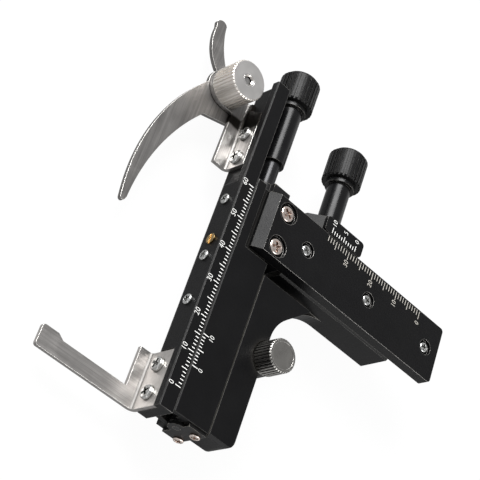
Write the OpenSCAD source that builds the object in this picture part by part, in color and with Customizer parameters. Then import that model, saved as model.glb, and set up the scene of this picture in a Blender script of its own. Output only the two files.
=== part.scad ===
// Mechanical stage for a microscope, with two drives, two scales and a sprung slide holder.
// Shapes are drawn from the zero of the long scale: X along the scale, Y towards the slide,
// Z up from the top face of the scale bar. placed() then moves them to the clamping screw.

/* [Clamping] */
// Height of the scale bar's top face above the microscope stage
stage_h = 12.5; // [12.2:0.1:16]
// Clamping screw, distance along the long scale from its zero
clamp_x = 20.9; // [19:0.1:22]
// Clamping screw, distance behind the long scale's tick line
clamp_back = 21.6; // [21.2:0.1:22.5]
// Thread diameter of the clamping screw
clamp_d = 4; // [3:0.5:5]
// Length of the clamping screw below the stage's top face
clamp_reach = 6; // [4:0.5:10]
// Diameter of the clamping knob
clamp_knob_d = 8.9; // [8:0.1:10]
// Height of the clamping knob
clamp_knob_h = 6.4; // [5:0.1:8]

/* [Scale bar] */
// Length of the scale bar
bar_len = 100; // [96:1:104]
// Length of the bar before its scale's zero
bar_lead = 6.7; // [6.2:0.1:7.2]
// Thickness of the bar behind its bracket seats
bar_t = 2.95; // [2.6:0.05:3.2]
// Depth of the bar's rear web
bar_h = 9.9; // [9.5:0.1:10.5]
// Depth of the thicker front strip
pad_h = 7.4; // [7:0.1:8]
// Depth of the lip that runs above the bracket seats
lip_h = 2.3; // [2:0.1:2.5]
// Depth of the bracket seats into the front face
seat_t = 1.4; // [1.3:0.1:1.6]
// Length of the near bracket seat
near_seat_len = 16.1; // [16:0.1:17]
// Length of the far bracket seat
far_seat_len = 29.3; // [26.5:0.1:30]
// Diameter of the cutter that made the far seat
seat_cutter_d = 12.8; // [10:0.2:16]

/* [Guide block] */
// Distance of the joint between bar and block behind the tick line
slide_line = 0.75; // [0.7:0.05:0.9]
// Gap between the bar and the block
slide_gap = 0.2; // [0.15:0.05:0.3]
// Length of the guide block
block_len = 69.4; // [69:0.1:71]
// Length of the block before the scale's zero
block_lead = 5.8; // [5.6:0.1:6]
// Width of the guide block
block_w = 11.35; // [11.2:0.05:11.45]
// Depth of the guide block
block_h = 11; // [10.9:0.1:11.5]
// Depth of the block's front wall
front_wall_h = 8.1; // [7.9:0.1:8.5]
// Reach of the front wall from the block's front face
front_wall_w = 3.65; // [3.5:0.05:3.8]
// Thickness of the near end plate
end_plate_t = 0.9; // [0.6:0.1:1]
// Thickness of the far bearing plate
bearing_plate_t = 2.6; // [2:0.1:3.2]

/* [Lead screw drive] */
// Lead screw axis, distance behind the tick line
screw_back = 6.6; // [6.5:0.05:6.7]
// Lead screw axis, depth below the bar's top face
screw_down = 5.2; // [5.1:0.05:5.3]
// Diameter of the lead screw
screw_d = 4.6; // [4.2:0.1:4.8]
// Diameter of the plain shaft
shaft_d = 4.9; // [4.6:0.1:5]
// Diameter of the sleeves behind both knobs
sleeve_d = 6.7; // [5.8:0.1:7]
// Diameter of both drive knobs
knob_d = 11.2; // [10:0.1:11.4]
// Length of both drive knobs
knob_len = 10; // [8:0.5:11]

/* [Cross slide] */
// Width of the cross slide
slide_w = 17.4; // [17:0.1:17.5]
// Length of the cross slide
slide_len = 69.7; // [68:0.1:72]
// Thickness of the cross slide
slide_t = 3.39; // [3.2:0.01:3.8]
// Depth of the slide's seat in the guide block
slide_seat = 1.55; // [1.4:0.05:1.8]
// Travel of the cross slide
cross_travel = 28.4; // [20:0.1:28.4]
// Modulus of the rack and pinion
gear_module = 0.5; // [0.45:0.01:0.52]
// Number of teeth on the pinion
pinion_teeth = 12; // [11:1:13]

/* [Base] */
// Length of the base's front wall
wall_len = 46.9; // [46:0.1:47.5]
// Thickness of the base's front wall
wall_w = 8; // [7.5:0.1:8.5]
// Depth of the base's front wall
wall_h = 7.3; // [6:0.1:8]
// Radius of the hollow corner beside the arm
arm_hollow_r = 14; // [12:0.5:15]
// Length of the arm
arm_len = 43.3; // [42:0.1:48]
// Depth of the arm
arm_h = 10.4; // [10:0.1:10.6]

/* [Slide holder] */
// Thickness of the fingers and their brackets
sheet_t = 1.2; // [1:0.05:1.25]
// Length of the fixed finger from the bar's front face
finger_len = 30.3; // [28:0.1:34]
// Width of the fixed finger
finger_w = 4.7; // [4.5:0.1:6]
// Pivot of the curved finger, distance along the scale
pivot_x = 87.7; // [87:0.1:88]
// Pivot of the curved finger, distance before the tick line
pivot_y = 11.8; // [11.5:0.1:12]
// Diameter of the spring drum
drum_d = 11.3; // [10.5:0.1:11.4]
// Height of the spring drum
drum_h = 8.3; // [7.5:0.1:9]

/* [Hidden] */

$fn = 64;
// Overrun of every cut past the face that it opens
cut = 1;
// Clearance of threads, pins and shafts in their holes, on the radius
fit = 0.04;
// Clearance between faces that slide on each other
run = 0.15;
// Fine edge break of machined edges
edge = 0.3;

// Places along Y and Z that several pieces share
bar_back_y = -slide_line + slide_gap / 2;
block_front_y = -slide_line - slide_gap / 2;
bar_face_y = bar_back_y + bar_t;
bar_front_y = bar_face_y + seat_t;
bar_x0 = -bar_lead;
bar_x1 = bar_x0 + bar_len;
block_x0 = -block_lead;
block_x1 = block_x0 + block_len;
block_back_y = block_front_y - block_w;
stage_z = -stage_h;
clamp_y = -clamp_back;
screw_y = -screw_back;
screw_z = -screw_down;

// Cross slide
slide_inset = 18;
slide_x0 = block_x1 - slide_inset;
slide_x1 = slide_x0 + slide_w;
slide_front_y = -5.8;
slide_back_y = slide_front_y - slide_len;
slide_z0 = -slide_seat;
slide_z1 = slide_z0 + slide_t;
slide_mid_x = slide_x0 + slide_w / 2;
nose_len = 2.4;
nose_h = 2.24;
seat_side_gap = 1.65;
seat_edge_x = slide_x0 - seat_side_gap;
seat_edge_y = -3.95;
lug_inset = 0.3;
lug_back_y = -17.4;
slide_screw_y = -12.2;
slide_screw_pitch = 10.5;
slide_screw_bore_d = 6;
slide_screw_bore_t = 1.1;
rail_screw_y = -21.7;
rail_screw_pitch = 24.4;
rail_screw_bore_d = 4.4;
rail_screw_bore_t = 1;

// Dovetail rail under the cross slide, and the rack beside it
rail_front_y = -18.2;
rail_end_gap = 1;
rail_h = 2.6;
rail_top_w = 6;
rail_foot_w = 8.6;
rack_w = 3;
rack_inset = 0.6;
rack_x0 = slide_x1 - rack_inset - rack_w;
rack_back_t = 0.75;
rack_front_y = -26;

// Gear geometry
pi_r = gear_module * pinion_teeth / 2;
pitch = PI * gear_module;
backlash = 0.06;
pressure_angle = 20;
pinion_add = 0.9 * gear_module;
pinion_ded = 0.95 * gear_module;
rack_add = 0.66 * gear_module;
rack_ded = 1.1 * gear_module;
rack_pitch_z = slide_z0 - rack_back_t - rack_ded;
pinion_z = rack_pitch_z - pi_r;
pinion_y = -31;
pinion_x0 = rack_x0 + 0.1 * rack_w;
pinion_w = rack_w - 0.2 * rack_w;
gear_room = 0.35;

// Base
wall_front_y = block_back_y - 0.4;
wall_back_y = wall_front_y - wall_w;
arm_side_gap = 0.1;
arm_x0 = slide_x0 - arm_side_gap;
arm_x1 = slide_x1;
web_len = 4.8;
wall_x1 = arm_x0 - web_len;
wall_x0 = wall_x1 - wall_len;
corner_r = 2.8;
wall_end_bevel = 0.8;
arm_front_y = -18.8;
arm_back_y = arm_front_y - arm_len;
arm_top_z = slide_z0 - run;
arm_bevel = 0.9;
side_gap = 0.35;
wall_hollow_r = 10;
hollow_end_y = -41;
arm_hollow_at = [arm_x0 - arm_hollow_r, hollow_end_y];
wall_hollow_y = wall_back_y - wall_hollow_r;
wall_hollow_x = arm_hollow_at[0] + hollow_end_y - wall_hollow_y + (arm_hollow_r - wall_hollow_r) * sqrt(2);
web_overlap = 6.7;
web_x0 = wall_x1 - web_overlap;
foot_reach = 7.9;
foot_x0 = clamp_x - foot_reach;
foot_t = 3;
foot_back_y = -27.4;
spot_d = clamp_knob_d + 2 * side_gap;
spot_h = 0.8;
clamp_neck_d = clamp_d - 2 * edge;
clamp_boss_d = clamp_knob_d - 2 * edge;
relief_d = 9;
relief_h = 0.3;
house_w = 4.55;
house_x0 = arm_x1 + side_gap;
house_face_x = house_x0 + house_w;
house_front_y = -16.3;
house_bevel_w = 0.7;
house_bevel_x = house_face_x - house_bevel_w;
house_bevel_y = -20.9;
house_mid_y = -24.8;
vernier_t = 1.2;
vernier_w = 4.7;
vernier_front_y = -24.8;
vernier_len = 14.4;
vernier_r = 1;
house_back_y = vernier_front_y - vernier_len + vernier_r;
house_tail_y = vernier_front_y - vernier_len;
house_top_z = slide_z1 - vernier_t;

// Shafts
journal_d = 2;
stub_d = 3.8;
bare_shaft_len = 7.5;
shaft_step_x = block_x1 + bearing_plate_t + bare_shaft_len;
step_gap = 0.2;
screw_sleeve_x0 = shaft_step_x + step_gap;
screw_sleeve_len = 19.5;
screw_knob_x0 = screw_sleeve_x0 + screw_sleeve_len;
collar_d = 8.4;
collar_len = 1.5;
grub_d = 2;
pin_d = 3;
bush_d = 5;
bush_flange_d = 6.6;
bush_flange_len = 3.4;
ring_w = 0.5;
ring_t = 0.25;
sleeve_gap = 0.3;
pinion_sleeve_x0 = house_face_x + bush_flange_len + sleeve_gap;
pinion_sleeve_len = 13.3;
pinion_knob_x0 = pinion_sleeve_x0 + pinion_sleeve_len;
knob_teeth = 28;
knob_groove_t = 0.5;
knob_crown_h = 1;
knob_crown_z = knob_len - knob_crown_h;
knob_crown_r = knob_d / 2 - knob_groove_t - knob_groove_t / 4;

// Slide holder
flange_z1 = -11.1;
fixed_tab_top_z = -2.5;
fixed_tab_len = near_seat_len - 2 * run;
flange_out_y = 7.2;
finger_tip_w = 5.8;
bend_r = 0.9;
bracket_len = 22.3;
bracket_leg_len = 17.4;
bracket_inset = 4.9;
bracket_x1 = bar_x1 - bracket_inset;
bracket_x0 = bracket_x1 - bracket_len;
bracket_leg_x1 = bracket_x0 + bracket_leg_len;
bracket_lean = 2.4;
bracket_top_z = -3;
bracket_tab_z = -8.6;
bracket_flange_z1 = -9.8;
bracket_flange_y = 7.9;
lobe_r = drum_d / 2 - side_gap;
finger_z1 = bracket_flange_z1 - sheet_t - run;
drum_wall = 1.3;
spring_wire_d = 0.6;
spring_turns = 5;
spring_pitch = 1.1;
stud_d = 4;
drum_z0 = bracket_flange_z1 + run;
drum_z1 = drum_z0 + drum_h;

// Screw head sizes
big_head_d = 4.6;
big_head_h = 1.5;
big_shank_d = 2.6;
small_head_d = 3.2;
small_head_h = 1.1;
small_shank_d = 1.8;
finger_head_d = 4;
finger_head_h = 1.3;
end_head_d = 3;
end_head_h = 1;
plate_head_d = 2.8;
plate_head_h = 0.6;
end_shank_d = 1.7;

// Moves a shape from the scale's zero to the clamping screw at the stage's top face
module placed() translate([-clamp_x, -clamp_y, stage_h]) children();

// Box between two corners
module box(low, high) translate(low) cube(high - low);

// Lays a round shape drawn along Z along X, Y or minus Y instead
module along_x(at) translate(at) rotate([0, 90, 0]) children();
module facing_front(at) translate(at) rotate([-90, 0, 0]) children();
module facing_near(at) translate(at) rotate([0, -90, 0]) children();

// Extrudes an outline of Y and Z along X
module extrude_x(x0, x1) translate([x0, 0, 0]) rotate([90, 0, 90]) linear_extrude(x1 - x0) children();

function arc(at, r, a0, a1, n) = [for (i = [0:n]) let (a = a0 + (a1 - a0) * i / n) at + r * [cos(a), sin(a)]];

// Points of the shorter arc from one point to another, bulging left of the way for a positive radius
function bow(from, to, r, n) =
    let (way = to - from, half = norm(way) / 2, side = [way[1], -way[0]] / norm(way),
        at = (from + to) / 2 + sign(r) * sqrt(r * r - half * half) * side,
        a0 = atan2(from[1] - at[1], from[0] - at[0]), span = -sign(r) * 2 * asin(half / abs(r)))
    arc(at, abs(r), a0, a0 + span, n);

// Rounded rectangle between two corners
module round_rect(low, high, r) {
    polygon(concat(
        arc([high[0] - r, high[1] - r], r, 0, 90, 6),
        arc([low[0] + r, high[1] - r], r, 90, 180, 6),
        arc([low[0] + r, low[1] + r], r, 180, 270, 6),
        arc([high[0] - r, low[1] + r], r, 270, 360, 6)));
}

// Cross recessed screw, its seat at zero and its shank below
dome_share = 0.55;
cross_w_share = 0.22;
cross_l_share = 0.62;
cross_h_share = 0.6;
module cross_screw(head_d, head_h, shank_d, shank_l) {
    rise = dome_share * head_h;
    dome_r = (head_d * head_d / 4 + rise * rise) / (2 * rise);
    difference() {
        intersection() {
            cylinder(d = head_d, h = head_h);
            translate([0, 0, head_h - dome_r]) sphere(r = dome_r);
        }
        for (turn = [0, 90]) rotate(turn) {
            translate([0, 0, head_h])
                cube([cross_l_share * head_d, cross_w_share * head_d, 2 * cross_h_share * head_h], center = true);
        }
    }
    translate([0, 0, -shank_l]) cylinder(d = shank_d, h = shank_l);
}

// Outline of a straight knurl: flat teeth with flat grooves between them
tooth_share = 0.56;
module knurl_outline(r, groove, teeth) {
    step = 360 / teeth;
    polygon([for (i = [0:teeth - 1], p = [[0, 0], [tooth_share, 0], [tooth_share, 1], [1, 1]])
        let (a = step * (i + p[0]), q = r - groove * p[1]) q * [cos(a), sin(a)]]);
}

// Knurled knob along Z, its root at zero, with bevels at both ends
module knurled(r, len, groove, teeth, root_bevel, face_bevel) {
    intersection() {
        linear_extrude(len) knurl_outline(r, groove, teeth);
        rotate_extrude() polygon([[0, 0], [r - root_bevel, 0], [r, root_bevel],
            [r, len - face_bevel], [r - face_bevel, len], [0, len]]);
    }
}

// Base: front wall, web, arm, foot under the clamping screw and housing of the pinion shaft
module base_casting() color("#1b1b1c") placed() difference() {
    union() {
        wall_and_web();
        foot();
        arm();
        housing();
    }
    translate([clamp_x, clamp_y, -spot_h]) cylinder(d = spot_d, h = spot_h + cut);
    translate([clamp_x, clamp_y, stage_z - cut]) cylinder(d = clamp_d + 4 * fit, h = stage_h + 2 * cut);
    translate([clamp_x, clamp_y, stage_z - cut]) cylinder(d = relief_d, h = relief_h + cut);
    wall_end_cut();
    rail_groove();
    rack_groove();
    along_x([pinion_x0 - gear_room, pinion_y, pinion_z])
        cylinder(r = pi_r + pinion_add + gear_room, h = pinion_w + 2 * gear_room);
    along_x([slide_mid_x, pinion_y, pinion_z]) cylinder(d = journal_d + 2 * fit, h = rack_w + arm_x1 - slide_mid_x);
    along_x([pinion_x0, pinion_y, pinion_z]) cylinder(d = bush_d + 2 * fit, h = house_face_x - pinion_x0 + cut);
}

// Front wall and the corner up to the arm, with one hollow from the wall's back face to the arm's side
module wall_outline() polygon(concat(
    [[wall_x0, wall_front_y]],
    arc([wall_x0 + corner_r, wall_back_y + corner_r], corner_r, 180, 270, 8),
    arc([wall_hollow_x, wall_hollow_y], wall_hollow_r, 90, 45, 8),
    arc(arm_hollow_at, arm_hollow_r, 45, 0, 8),
    [[arm_x0 + edge, hollow_end_y], [arm_x0 + edge, arm_front_y], [arm_x0, arm_front_y], [arm_x0, wall_front_y]]));

module part_of_wall(x0, x1, z0, z1) translate([0, 0, z0]) linear_extrude(z1 - z0) intersection() {
    wall_outline();
    translate([x0, hollow_end_y]) square([x1 - x0, wall_front_y - hollow_end_y]);
}

module wall_and_web() {
    part_of_wall(wall_x0, wall_x1, -wall_h, 0);
    part_of_wall(web_x0, arm_x0 + edge, arm_top_z - arm_h, -wall_h);
}

// Foot that the clamping screw pulls down on the stage, and the boss under the screw's knob
module foot() {
    box([foot_x0, foot_back_y, stage_z], [web_x0 + edge, wall_front_y, stage_z + foot_t]);
    box([foot_x0, wall_back_y, stage_z], [web_x0 + edge, wall_front_y, -wall_h]);
    translate([clamp_x, clamp_y, stage_z]) cylinder(d = clamp_boss_d, h = stage_h);
}

// Bevel along the top edge of the wall's near end
module wall_end_cut() extrude_y(wall_back_y - cut, wall_front_y + cut) polygon([
    [wall_x0 - cut, -wall_end_bevel - cut], [wall_x0 - cut, cut], [wall_x0 + wall_end_bevel + cut, cut]]);

module arm() extrude_y(arm_back_y, arm_front_y) polygon([
    [arm_x0, arm_top_z - arm_h], [arm_x1 + side_gap, arm_top_z - arm_h],
    [arm_x1 + side_gap, arm_top_z - arm_bevel], [arm_x1 + side_gap - arm_bevel, arm_top_z],
    [arm_x0 + arm_bevel, arm_top_z], [arm_x0, arm_top_z - arm_bevel]]);

// Extrudes an outline of X and Z along Y
module extrude_y(y0, y1) translate([0, y1, 0]) rotate([90, 0, 0]) linear_extrude(y1 - y0) children();

// Housing beside the arm, sloped at its front, level under the vernier plate
module housing() {
    difference() {
        translate([0, 0, arm_top_z - arm_h]) linear_extrude(house_top_z - arm_top_z + arm_h)
            polygon([[house_x0, house_front_y], [house_bevel_x, house_bevel_y], [house_face_x, house_mid_y],
                [house_face_x, house_back_y], [house_x0, house_tail_y]]);
        extrude_x(house_x0 - cut, house_face_x + cut)
            polygon([[house_mid_y, house_top_z], [house_front_y + cut, arm_top_z - arm_h / 2],
                [house_front_y + cut, house_top_z + cut], [house_mid_y, house_top_z + cut]]);
    }
}

module rail_groove() extrude_y(arm_back_y - cut, arm_front_y + cut) polygon([
    [slide_mid_x - rail_top_w / 2 - run, slide_z0 + cut], [slide_mid_x + rail_top_w / 2 + run, slide_z0 + cut],
    [slide_mid_x + rail_top_w / 2 + run, slide_z0],
    [slide_mid_x + rail_foot_w / 2 + run, slide_z0 - rail_h],
    [slide_mid_x + rail_foot_w / 2 + run, slide_z0 - rail_h - run],
    [slide_mid_x - rail_foot_w / 2 - run, slide_z0 - rail_h - run],
    [slide_mid_x - rail_foot_w / 2 - run, slide_z0 - rail_h],
    [slide_mid_x - rail_top_w / 2 - run, slide_z0]]);

module rack_groove() box(
    [rack_x0 - run, arm_back_y - cut, rack_pitch_z - rack_add - run],
    [rack_x0 + rack_w + run, arm_front_y + cut, slide_z0]);

module vernier_plate() color("#19191a") placed() translate([0, 0, house_top_z]) linear_extrude(vernier_t)
    round_rect([house_x0, vernier_front_y - vernier_len], [house_x0 + vernier_w, vernier_front_y], vernier_r);

// Clamping screw: thin neck through the base, threaded end below the stage's top face
module clamp_screw() color("#b9b9b6") placed() translate([clamp_x, clamp_y, 0]) {
    translate([0, 0, stage_z - clamp_reach]) cylinder(d = clamp_d, h = clamp_reach);
    translate([0, 0, stage_z - clamp_reach / 2]) cylinder(d = clamp_neck_d, h = clamp_reach / 2 + stage_h + clamp_knob_h / 2);
}

clamp_washer_t = 0.5;
clamp_knob_z0 = -spot_h + clamp_washer_t;
module clamp_knob() color("#c4c3bf") placed() translate([clamp_x, clamp_y, clamp_knob_z0]) difference() {
    knurled(clamp_knob_d / 2, clamp_knob_h, clamp_groove, clamp_teeth, edge, edge);
    translate([0, 0, -cut]) cylinder(d = clamp_neck_d + 2 * fit, h = clamp_knob_h / 2 - clamp_knob_z0 + fit + cut);
    translate([0, 0, clamp_knob_h - face_dish_t]) cylinder(r = clamp_knob_d / 2 - 3 * edge, h = cut);
}
clamp_groove = 0.3;
clamp_teeth = 34;
face_dish_t = 0.1;

module clamp_washer() color("#a9a9a6") placed() translate([clamp_x, clamp_y, -spot_h]) difference() {
    cylinder(d = clamp_boss_d, h = clamp_washer_t);
    translate([0, 0, -cut]) cylinder(d = clamp_neck_d + 4 * fit, h = clamp_washer_t + 2 * cut);
}

// Cross slide: flat plate with a sloped nose, counterbores and screw holes
module cross_slide() color("#1a1a1b") placed() difference() {
    intersection() {
        extrude_x(slide_x0, slide_x1) polygon([[slide_front_y, slide_z0], [slide_front_y, slide_z1 - nose_h],
            [slide_front_y - nose_len, slide_z1], [slide_back_y, slide_z1], [slide_back_y, slide_z0]]);
        translate([0, 0, slide_z0 - cut]) linear_extrude(slide_t + 2 * cut)
            round_rect([slide_x0, slide_back_y], [slide_x1, slide_front_y + 2 * vernier_r], vernier_r);
    }
    for (x = slide_screw_xs()) translate([x, slide_screw_y, 0])
        screw_hole(slide_screw_bore_d, slide_screw_bore_t, big_shank_d);
    for (y = rail_screw_ys()) translate([slide_mid_x, y, 0])
        screw_hole(rail_screw_bore_d, rail_screw_bore_t, small_shank_d);
}

function slide_screw_xs() = [for (s = [-1, 1]) slide_mid_x + s * slide_screw_pitch / 2];
function rail_screw_ys() = [for (i = [0:2]) rail_screw_y - i * rail_screw_pitch];

module screw_hole(bore_d, bore_t, shank_d) {
    translate([0, 0, slide_z1 - bore_t]) cylinder(d = bore_d, h = bore_t + cut);
    translate([0, 0, slide_z0 - cut]) cylinder(d = shank_d + 2 * fit, h = slide_t + cut);
}

module dovetail_rail() color("#8d8b86") placed() difference() {
    extrude_y(slide_back_y + rail_end_gap, rail_front_y) polygon([
        [slide_mid_x - rail_top_w / 2, slide_z0], [slide_mid_x + rail_top_w / 2, slide_z0],
        [slide_mid_x + rail_foot_w / 2, slide_z0 - rail_h], [slide_mid_x - rail_foot_w / 2, slide_z0 - rail_h]]);
    for (y = rail_screw_ys()) translate([slide_mid_x, y, slide_z0 - rail_h - cut])
        cylinder(d = small_shank_d + 2 * fit, h = rail_h + 2 * cut);
}

// Rack strip with teeth down, one tooth above the pinion's axis
rack_teeth_back = floor((cross_travel + 3 * pitch) / pitch);
rack_teeth_front = floor((pinion_y - rack_front_y) / -pitch);
module rack() color("#b08d4c") placed() union() {
    y_back = pinion_y - (rack_teeth_back + 0.5) * pitch;
    y_front = pinion_y + (rack_teeth_front + 0.5) * pitch;
    root_z = rack_pitch_z + rack_ded;
    half_root = pitch / 4 - backlash / 4 + rack_ded * tan(pressure_angle);
    half_tip = pitch / 4 - backlash / 4 - rack_add * tan(pressure_angle);
    extrude_x(rack_x0, rack_x0 + rack_w) polygon(concat(
        [[y_front, root_z], [y_front, slide_z0], [y_back, slide_z0], [y_back, root_z]],
        [for (i = [-rack_teeth_back:rack_teeth_front], p = [[-half_root, 0], [-half_tip, 1], [half_tip, 1], [half_root, 0]])
            [pinion_y + i * pitch + p[0], root_z - p[1] * (rack_ded + rack_add)]]));
}

module slide_screws() color("#b5704e") placed() for (x = slide_screw_xs())
    translate([x, slide_screw_y, slide_z1 - slide_screw_bore_t])
        cross_screw(big_head_d, big_head_h, big_shank_d, slide_t + big_shank_d);

module rail_screws() color("#c9cac8") placed() for (y = rail_screw_ys())
    translate([slide_mid_x, y, slide_z1 - rail_screw_bore_t])
        cross_screw(small_head_d, small_head_h, small_shank_d, slide_t + rail_h - rail_screw_bore_t);

// Guide block: carries the bar's dovetail at its front, the lead screw inside and the cross slide on top
module guide_block() color("#1c1c1d") placed() difference() {
    union() {
        box([block_x0, block_back_y, -block_h], [block_x1, block_front_y - front_wall_w, 0]);
        extrude_x(block_x0, block_x1) polygon([[block_front_y - front_wall_w - edge, 0], [block_front_y - edge, 0],
            [block_front_y, -edge], [block_front_y, -front_wall_h],
            [block_front_y - front_wall_w - edge, -front_wall_h]]);
        box([slide_x0 + lug_inset, lug_back_y, -block_h], [slide_x1 + lug_inset / 2, block_back_y + edge, slide_z0]);
    }
    box([seat_edge_x, lug_back_y - cut, slide_z0], [block_x1 + cut, seat_edge_y, cut]);
    extrude_x(block_x0 - cut, block_x1 + cut) dovetail_outline(groove_slack);
    box([block_x0 - cut, screw_y, nut_low_z - run], [block_x1 + cut, tongue_y, nut_high_z + run]);
    along_x([block_x0 - cut, screw_y, screw_z]) cylinder(d = screw_d + 4 * run, h = block_len + 2 * cut);
    for (x = slide_screw_xs()) translate([x, slide_screw_y, -2 * slide_t - big_shank_d])
        cylinder(d = big_shank_d + 2 * fit, h = 2 * slide_t + big_shank_d);
    for (p = end_screw_places) for (x = [block_x0 - cut, block_x1 - end_shank_len])
        along_x([x, p[0], p[1]]) cylinder(d = end_shank_d + 2 * fit, h = end_shank_len + cut);
}

// Dovetail of the bar in the guide block, drawn as Y and Z
groove_slack = 0.12;
tongue_y = -3.6;
tongue_top_z = -1;
tongue_low_z = -7;
mouth_top_z = -2.2;
mouth_low_z = -5.8;
nut_high_z = -2.6;
nut_low_z = -6.7;
end_shank_len = 4;
module dovetail_outline(slack) polygon([
    [bar_back_y, mouth_top_z - groove_slack + slack], [bar_back_y, mouth_low_z + groove_slack - slack],
    [tongue_y + groove_slack - slack, tongue_low_z + groove_slack - slack],
    [tongue_y + groove_slack - slack, tongue_top_z - groove_slack + slack]]);

end_screw_y = -11.1;
end_screw_high_z = -3.2;
end_screw_low_z = -9.4;
end_screw_places = [[end_screw_y, end_screw_high_z], [end_screw_y, end_screw_low_z]];
plate_front_y = -6.6;
plate_back_y = -12.3;
plate_top_z = -0.5;
plate_low_z = -10.7;
near_lobe_r = 2.4;
far_lobe_r = 2.95;

// Flat plate over an end of the guide block, rounded about the screw's axis
module end_plate(x0, x1, lobe_r, hole_d) difference() {
    extrude_x(x0, x1) union() {
        translate([plate_back_y, plate_low_z]) square([plate_front_y - plate_back_y, plate_top_z - plate_low_z]);
        translate([screw_y, screw_z]) circle(r = lobe_r);
    }
    along_x([x0 - cut, screw_y, screw_z]) cylinder(d = hole_d, h = x1 - x0 + 2 * cut);
    for (p = end_screw_places) along_x([x0 - cut, p[0], p[1]])
        cylinder(d = end_shank_d + 2 * fit, h = x1 - x0 + 2 * cut);
}
module near_end_plate() color("#202021") placed()
    end_plate(block_x0 - end_plate_t, block_x0, near_lobe_r, journal_d + 2 * fit);
module far_bearing_plate() color("#202021") placed()
    end_plate(block_x1, block_x1 + bearing_plate_t, far_lobe_r, shaft_d + 2 * fit);

module end_plate_screws() color("#b5704e") placed() for (p = end_screw_places) {
    facing_near([block_x0 - end_plate_t, p[0], p[1]])
        cross_screw(plate_head_d, plate_head_h, end_shank_d, end_shank_len);
    along_x([block_x1 + bearing_plate_t, p[0], p[1]])
        cross_screw(plate_head_d, plate_head_h, end_shank_d, end_shank_len / 2 + bearing_plate_t);
}

// Lead screw, running from the near journal to the stub inside the knob
module lead_screw() color("#4a4a4c") placed() along_x([0, screw_y, screw_z]) {
    translate([0, 0, block_x0 - end_plate_t]) cylinder(d = journal_d, h = end_plate_t + run);
    translate([0, 0, block_x0 + run]) cylinder(d = screw_d, h = block_len - 2 * run);
    translate([0, 0, block_x1 - run]) cylinder(d = shaft_d, h = shaft_step_x - block_x1 + run);
    translate([0, 0, shaft_step_x]) cylinder(d = stub_d, h = screw_knob_x0 + knob_len / 2 - shaft_step_x);
}

// Sleeve between shaft and knob, with a collar under the knob
module sleeve(len, bore_d, with_collar) difference() {
    union() {
        cylinder(d = sleeve_d, h = len);
        if (with_collar) translate([0, 0, len - collar_len]) cylinder(d = collar_d, h = collar_len);
    }
    translate([0, 0, -cut]) cylinder(d = bore_d, h = len + 2 * cut);
}
module screw_sleeve() color("#161617") placed() along_x([screw_sleeve_x0, screw_y, screw_z])
    sleeve(screw_knob_x0 - screw_sleeve_x0, stub_d + 2 * fit, true);

// Drive knob: coarse knurl, recessed root, blind bore and a radial hole for its grub screw
module drive_knob(bore_d) difference() {
    union() {
        rotate(-180 / knob_teeth * (1 + tooth_share))
            knurled(knob_d / 2, knob_len - knob_crown_h, knob_groove_t, knob_teeth, edge, edge);
        rotate_extrude() polygon(concat([[0, knob_crown_z - edge], [knob_crown_r, knob_crown_z - edge]],
            arc([knob_crown_r - knob_crown_h, knob_crown_z], knob_crown_h, 0, 90, 6), [[0, knob_len]]));
    }
    translate([0, 0, -cut]) cylinder(d = bore_d, h = knob_len / 2 + cut + 2 * fit);
    translate([0, 0, knob_len / 4]) rotate([90, 0, 0]) cylinder(d = grub_d + 2 * fit, h = knob_d);
}
module grub_screw(shaft) translate([0, 0, knob_len / 4]) rotate([90, 0, 0]) difference() {
    translate([0, 0, shaft / 2 + fit]) cylinder(d = grub_d, h = knob_d / 2 - shaft / 2 - 2 * knob_groove_t);
    translate([0, 0, knob_d / 2 - 3 * knob_groove_t]) cylinder(d = grub_d / 2, h = knob_d, $fn = 6);
}
module screw_knob() color("#171718") placed() along_x([screw_knob_x0, screw_y, screw_z]) drive_knob(stub_d + 2 * fit);
module screw_knob_grub() color("#3c3c3e") placed() along_x([screw_knob_x0, screw_y, screw_z]) grub_screw(stub_d);

// Scale bar: thick front strip over a thin web, with seats cut for the two brackets
module scale_bar() color("#1d1d1e") placed() difference() {
    extrude_x(bar_x0, bar_x1) polygon([[bar_back_y, -bar_h], [bar_face_y, -bar_h], [bar_face_y, -pad_h],
        [bar_front_y, -pad_h], [bar_front_y, -edge], [bar_front_y - edge, 0], [bar_back_y, 0]]);
    box([bar_x0 - cut, bar_face_y, -bar_h], [bar_x0 + near_seat_len, bar_front_y + cut, -lip_h]);
    box([bar_x1 - far_seat_len, bar_face_y, -bar_h], [bar_x1 + cut, bar_front_y + cut, -lip_h]);
    translate([bar_x1 - far_seat_len, bar_face_y + seat_cutter_d / 2, -bar_h])
        cylinder(d = seat_cutter_d, h = bar_h - lip_h);
    for (x = concat(bar_screw_xs, [adjusting_x])) facing_front([x, bar_back_y - cut, bar_screw_z])
        cylinder(d = small_shank_d + 2 * fit, h = bar_t + seat_t + 2 * cut);
    for (x = finger_screw_xs) facing_front([x, bar_back_y - cut, finger_screw_z])
        cylinder(d = small_shank_d + 2 * fit, h = bar_t + 2 * cut);
    for (x = bracket_screw_xs) facing_front([x, bar_back_y - cut, finger_screw_z])
        cylinder(d = small_shank_d + 2 * fit, h = bar_t + 2 * cut);
}
bar_screw_z = -4;
near_screw_x = 23.5;
mid_screw_x = 36.8;
adjusting_x = 42;
far_screw_inset = 9.5;
bar_screw_xs = [near_screw_x, mid_screw_x, bar_x1 - far_seat_len - far_screw_inset];
finger_screw_z = -6.5;
finger_screw_inset = 4.1;
finger_screw_pitch = 7.8;
finger_screw_xs = [for (i = [0, 1]) bar_x0 + finger_screw_inset + i * finger_screw_pitch];
bracket_screw_inset = 3;
bracket_screw_pitch = 7.9;
bracket_screw_xs = [for (i = [0, 1]) bracket_x0 + bracket_screw_inset + i * bracket_screw_pitch];

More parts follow.
